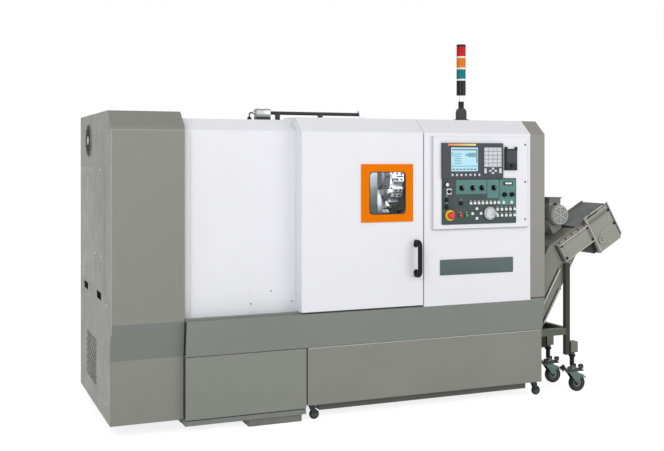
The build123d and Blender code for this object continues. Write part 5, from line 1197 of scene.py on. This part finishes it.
class LATHE_OT_caster_trim(Dressing, Operator):
    """Adds hubs, axle nuts, brake pedals, boots and star grips to the casters"""

    bl_idname = "lathe.caster_trim"
    bl_label = "Caster trim"

    def dress(self, scene):
        steel = metal("hub_steel", srgb(98, 106, 104), 0.3, 120.0)
        # Wheel radius, trail, wheel width, thickness of the fork's cheek and axle radius
        small, large = (27, 14, 18, 3, 4), (52, 34, 32, 5, 7)
        for label, x, y, sizes in (
            ("left_tank_caster", 1083, 58, small), ("right_tank_caster", 2512, 58, small),
            ("front_stand_caster", STEM, STAND_SIDES[0], large),
            ("rear_stand_caster", STEM, STAND_SIDES[1], large),
        ):
            self.add_wheel_trim(label, x, y, sizes, steel)
        boots, nuts = Piece("stand_boots"), Piece("stand_nuts")
        bellows = [
            (0, 12), (8, 15), (16, 12.5), (24, 15), (32, 12.5), (40, 15), (50, 13),
            (54, 21), (64, 21), (66, 19),
        ]
        for y in STAND_SIDES:
            boots.turned((STEM, y, 160), UP, bellows)
            nuts.turned((STEM, y, 136.8), UP, [(0, 24), (8, 23), (14, 18), (18, 12), (24, 11)])
            nuts.slab((STEM - 78, STEM + 78), (y - 12, y + 12), (135.5, 140), 1)
            for x in (STEM - 66, STEM + 66):
                nuts.post((x, y, 126), UP, 5, 24, 1)
                for low, high, reach in ((143, 157, 15), (157, 161, 11)):
                    self.add_star(boots, x, y, low, high, reach)
        boots.seat("black_plastic", "handle_black")
        nuts.seat("zinc_plate", "fork_zinc")

    def add_wheel_trim(self, label, x, y, sizes, steel):
        """Hub plates and rims on the wheel, and axle nuts on the fork, with a brake on the large casters."""
        radius, trail, width, cheek, axle = sizes
        hub, nut = Piece(label + "_hub"), Piece(label + "_nut")
        depth = width / 2 - radius * 0.07
        outside = width / 2 + axle * 0.3 + cheek
        dish = [(along, radius * share) for along, share in ((0, 0.5), (1, 0.5), (1.6, 0.42), (0.8, 0.36))]
        dish.append((1.4, axle + 2.2))
        hexagon = [(0, axle * 1.3), (axle * 0.9, axle * 1.3), (axle * 1.1, axle * 1.1)]

        def on_axle(side, distance):
            return (x + trail, y + side.y * distance, radius)

        for side in (FRONT, BACK):
            hub.turned(on_axle(side, depth - 0.4), side, dish, 32)
            hub.ring(on_axle(side, width / 2 - 0.6), side, radius * 0.7, radius * 0.64, 1)
            nut.turned(on_axle(side, outside - 0.4), side, hexagon, 6)
            nut.post(on_axle(side, outside + axle * 0.6), side, axle * 0.6, axle * 0.9, 0.4)
        if "stand" in label:
            self.add_brake(nut, x, y, width / 2)
        hub.seat(steel, "fork_zinc", label + "_wheel")
        nut.seat("zinc_plate", "fork_zinc", label + "_fork")

    def add_star(self, piece, x, y, low, high, reach):
        """A grip with five lobes between two heights."""
        rows = []
        for height, share in ((low, 0.9), (low + 2, 1), (high - 2, 1), (high, 0.85)):
            spots = []
            for a, b in circle(0, 0, share * reach, 40):
                lobe = 1 + 0.16 * math.cos(5 * math.atan2(b, a))
                spots.append(at(x + lobe * a, y + lobe * b, height))
            rows.append(piece.row(spots))
        piece.skin(rows)

    def add_brake(self, piece, x, y, half):
        """A folded foot brake over the wheel, on the fork's trailing side."""
        pedal = [(26, 108), (66, 98), (92, 76), (96, 80), (68, 103), (27, 113)]
        piece.prism([(x + out, z) for out, z in pedal], (y - half, y + half), 0.8)
        ear = [(x + out, z) for out, z in ((34, 108), (60, 102), (52, 78), (40, 80))]
        for middle in (y - half - 3.4, y + half + 3.4):
            piece.prism(ear, (middle - 1.2, middle + 1.2), 0.6)


class LATHE_OT_stage(Dressing, Operator):
    """Sets the camera, the lamps, the sky and the floor"""

    bl_idname = "lathe.stage"
    bl_label = "Stage"

    def dress(self, scene):
        stage = scene.lathe_stage
        self.add_camera(scene, stage)
        for name, place, aim, size, power in (
            ("key_lamp", (-1700, -3500, 3000), (1200, 400, 800), 2.6, stage.key_power),
            ("fill_lamp", (4300, -3700, 2100), (1500, 300, 800), 3.2, stage.fill_power),
            ("work_lamp", (1500, 150, 1520), (1690, 480, 1180), 0.22, stage.work_power),
        ):
            self.add_lamp(scene, name, at(*place), at(*aim), size, power)
        self.add_sky(scene, stage)
        self.add_floor(scene)
        scene.view_settings.view_transform = "Standard"

    def add_camera(self, scene, stage):
        """Adds the camera that sees the machine as in the photograph."""
        data = bpy.data.cameras.new("photo_camera")
        data.lens = stage.camera_lens
        data.sensor_fit = "HORIZONTAL"
        data.sensor_width = 36.0
        data.shift_x, data.shift_y = stage.camera_shift
        data.clip_end = 100.0
        camera = bpy.data.objects.new("photo_camera", data)
        camera.location = stage.camera_place
        camera.rotation_euler = (math.radians(90.0), 0.0, -stage.camera_turn)
        scene.collection.objects.link(camera)
        scene.camera = camera

    def add_lamp(self, scene, name, place, aim, size, power):
        """Adds a square soft lamp that looks at a point."""
        lamp = bpy.data.lights.new(name, "AREA")
        lamp.size = size
        lamp.energy = power
        holder = bpy.data.objects.new(name, lamp)
        holder.location = place
        holder.rotation_euler = (aim - place).to_track_quat("-Z", "Y").to_euler()
        scene.collection.objects.link(holder)

    def by_ray(self, nodes, light, seen):
        """One shader for light, and another for rays from the camera, a reflection or glass."""
        path = nodes.node("ShaderNodeLightPath").outputs
        shown = nodes.calculate("MAXIMUM", path["Is Camera Ray"], path["Is Glossy Ray"])
        shown = nodes.calculate("MAXIMUM", shown, path["Is Transmission Ray"])
        return nodes.node("ShaderNodeMixShader", {"Fac": shown, 1: light, 2: seen}).outputs[0]

    def add_sky(self, scene, stage):
        """White where it is seen, softer where it lights."""
        world = bpy.data.worlds.new("studio")
        world.use_nodes = True
        nodes = Nodes(world.node_tree)
        light, seen = (
            nodes.node("ShaderNodeBackground", {"Color": EVEN, "Strength": strength}).outputs[0]
            for strength in (stage.sky_strength, 1.0)
        )
        nodes.node("ShaderNodeOutputWorld", {"Surface": self.by_ray(nodes, light, seen)})
        scene.world = world

    def add_floor(self, scene):
        """A wide floor that is white where it is seen in the light and keeps the shadow."""
        mesh = bmesh.new()
        bmesh.ops.create_grid(mesh, x_segments=1, y_segments=1, size=40.0)
        data = bpy.data.meshes.new("floor")
        mesh.to_mesh(data)
        mesh.free()
        material = bpy.data.materials.new("floor_white")
        material.use_nodes = True
        nodes = Nodes(material.node_tree)
        light, shadow = (
            nodes.node("ShaderNodeBsdfDiffuse", {"Color": (grey, grey, grey)}).outputs[0]
            for grey in (0.82, 0.4)
        )
        bright = nodes.node("ShaderNodeEmission", {"Strength": 0.84}).outputs[0]
        seen = nodes.node("ShaderNodeAddShader", {0: shadow, 1: bright}).outputs[0]
        nodes.node("ShaderNodeOutputMaterial", {"Surface": self.by_ray(nodes, light, seen)})
        data.materials.append(material)
        floor = bpy.data.objects.new("floor", data)
        scene.collection.objects.link(floor)


class LATHE_PT_dressing(Panel):
    """Lists the steps and the settings"""

    bl_label = "Lathe"
    bl_space_type = "VIEW_3D"
    bl_region_type = "UI"
    bl_category = "Lathe"

    def draw(self, context):
        for operator in OPERATORS:
            self.layout.operator(operator.bl_idname)
        for group in (context.scene.lathe_stage, context.scene.lathe_paint, context.scene.lathe_trim):
            for key in group.__annotations__:
                self.layout.prop(group, key)


OPERATORS = (
    LATHE_OT_finishes, LATHE_OT_window_trim, LATHE_OT_plates, LATHE_OT_screws, LATHE_OT_tool_trim,
    LATHE_OT_screen, LATHE_OT_operator_fields, LATHE_OT_card_trim, LATHE_OT_cabinet_trim,
    LATHE_OT_roof_trim, LATHE_OT_rear_trim, LATHE_OT_conveyor_trim, LATHE_OT_caster_trim, LATHE_OT_stage,
)
CLASSES = (StageSettings, PaintSettings, TrimSettings, *OPERATORS, LATHE_PT_dressing)


def register():
    for cls in CLASSES:
        bpy.utils.register_class(cls)
    bpy.types.Scene.lathe_stage = PointerProperty(type=StageSettings)
    bpy.types.Scene.lathe_paint = PointerProperty(type=PaintSettings)
    bpy.types.Scene.lathe_trim = PointerProperty(type=TrimSettings)


def unregister():
    del bpy.types.Scene.lathe_trim
    del bpy.types.Scene.lathe_paint
    del bpy.types.Scene.lathe_stage
    for cls in reversed(CLASSES):
        bpy.utils.unregister_class(cls)


def main():
    """Registers the add-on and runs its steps."""
    register()
    bpy.ops.lathe.finishes()
    bpy.ops.lathe.window_trim()
    bpy.ops.lathe.plates()
    bpy.ops.lathe.screws()
    bpy.ops.lathe.tool_trim()
    bpy.ops.lathe.screen()
    bpy.ops.lathe.operator_fields()
    bpy.ops.lathe.card_trim()
    bpy.ops.lathe.cabinet_trim()
    bpy.ops.lathe.roof_trim()
    bpy.ops.lathe.rear_trim()
    bpy.ops.lathe.conveyor_trim()
    bpy.ops.lathe.caster_trim()
    bpy.ops.lathe.stage()


if __name__ == "__main__":
    main()
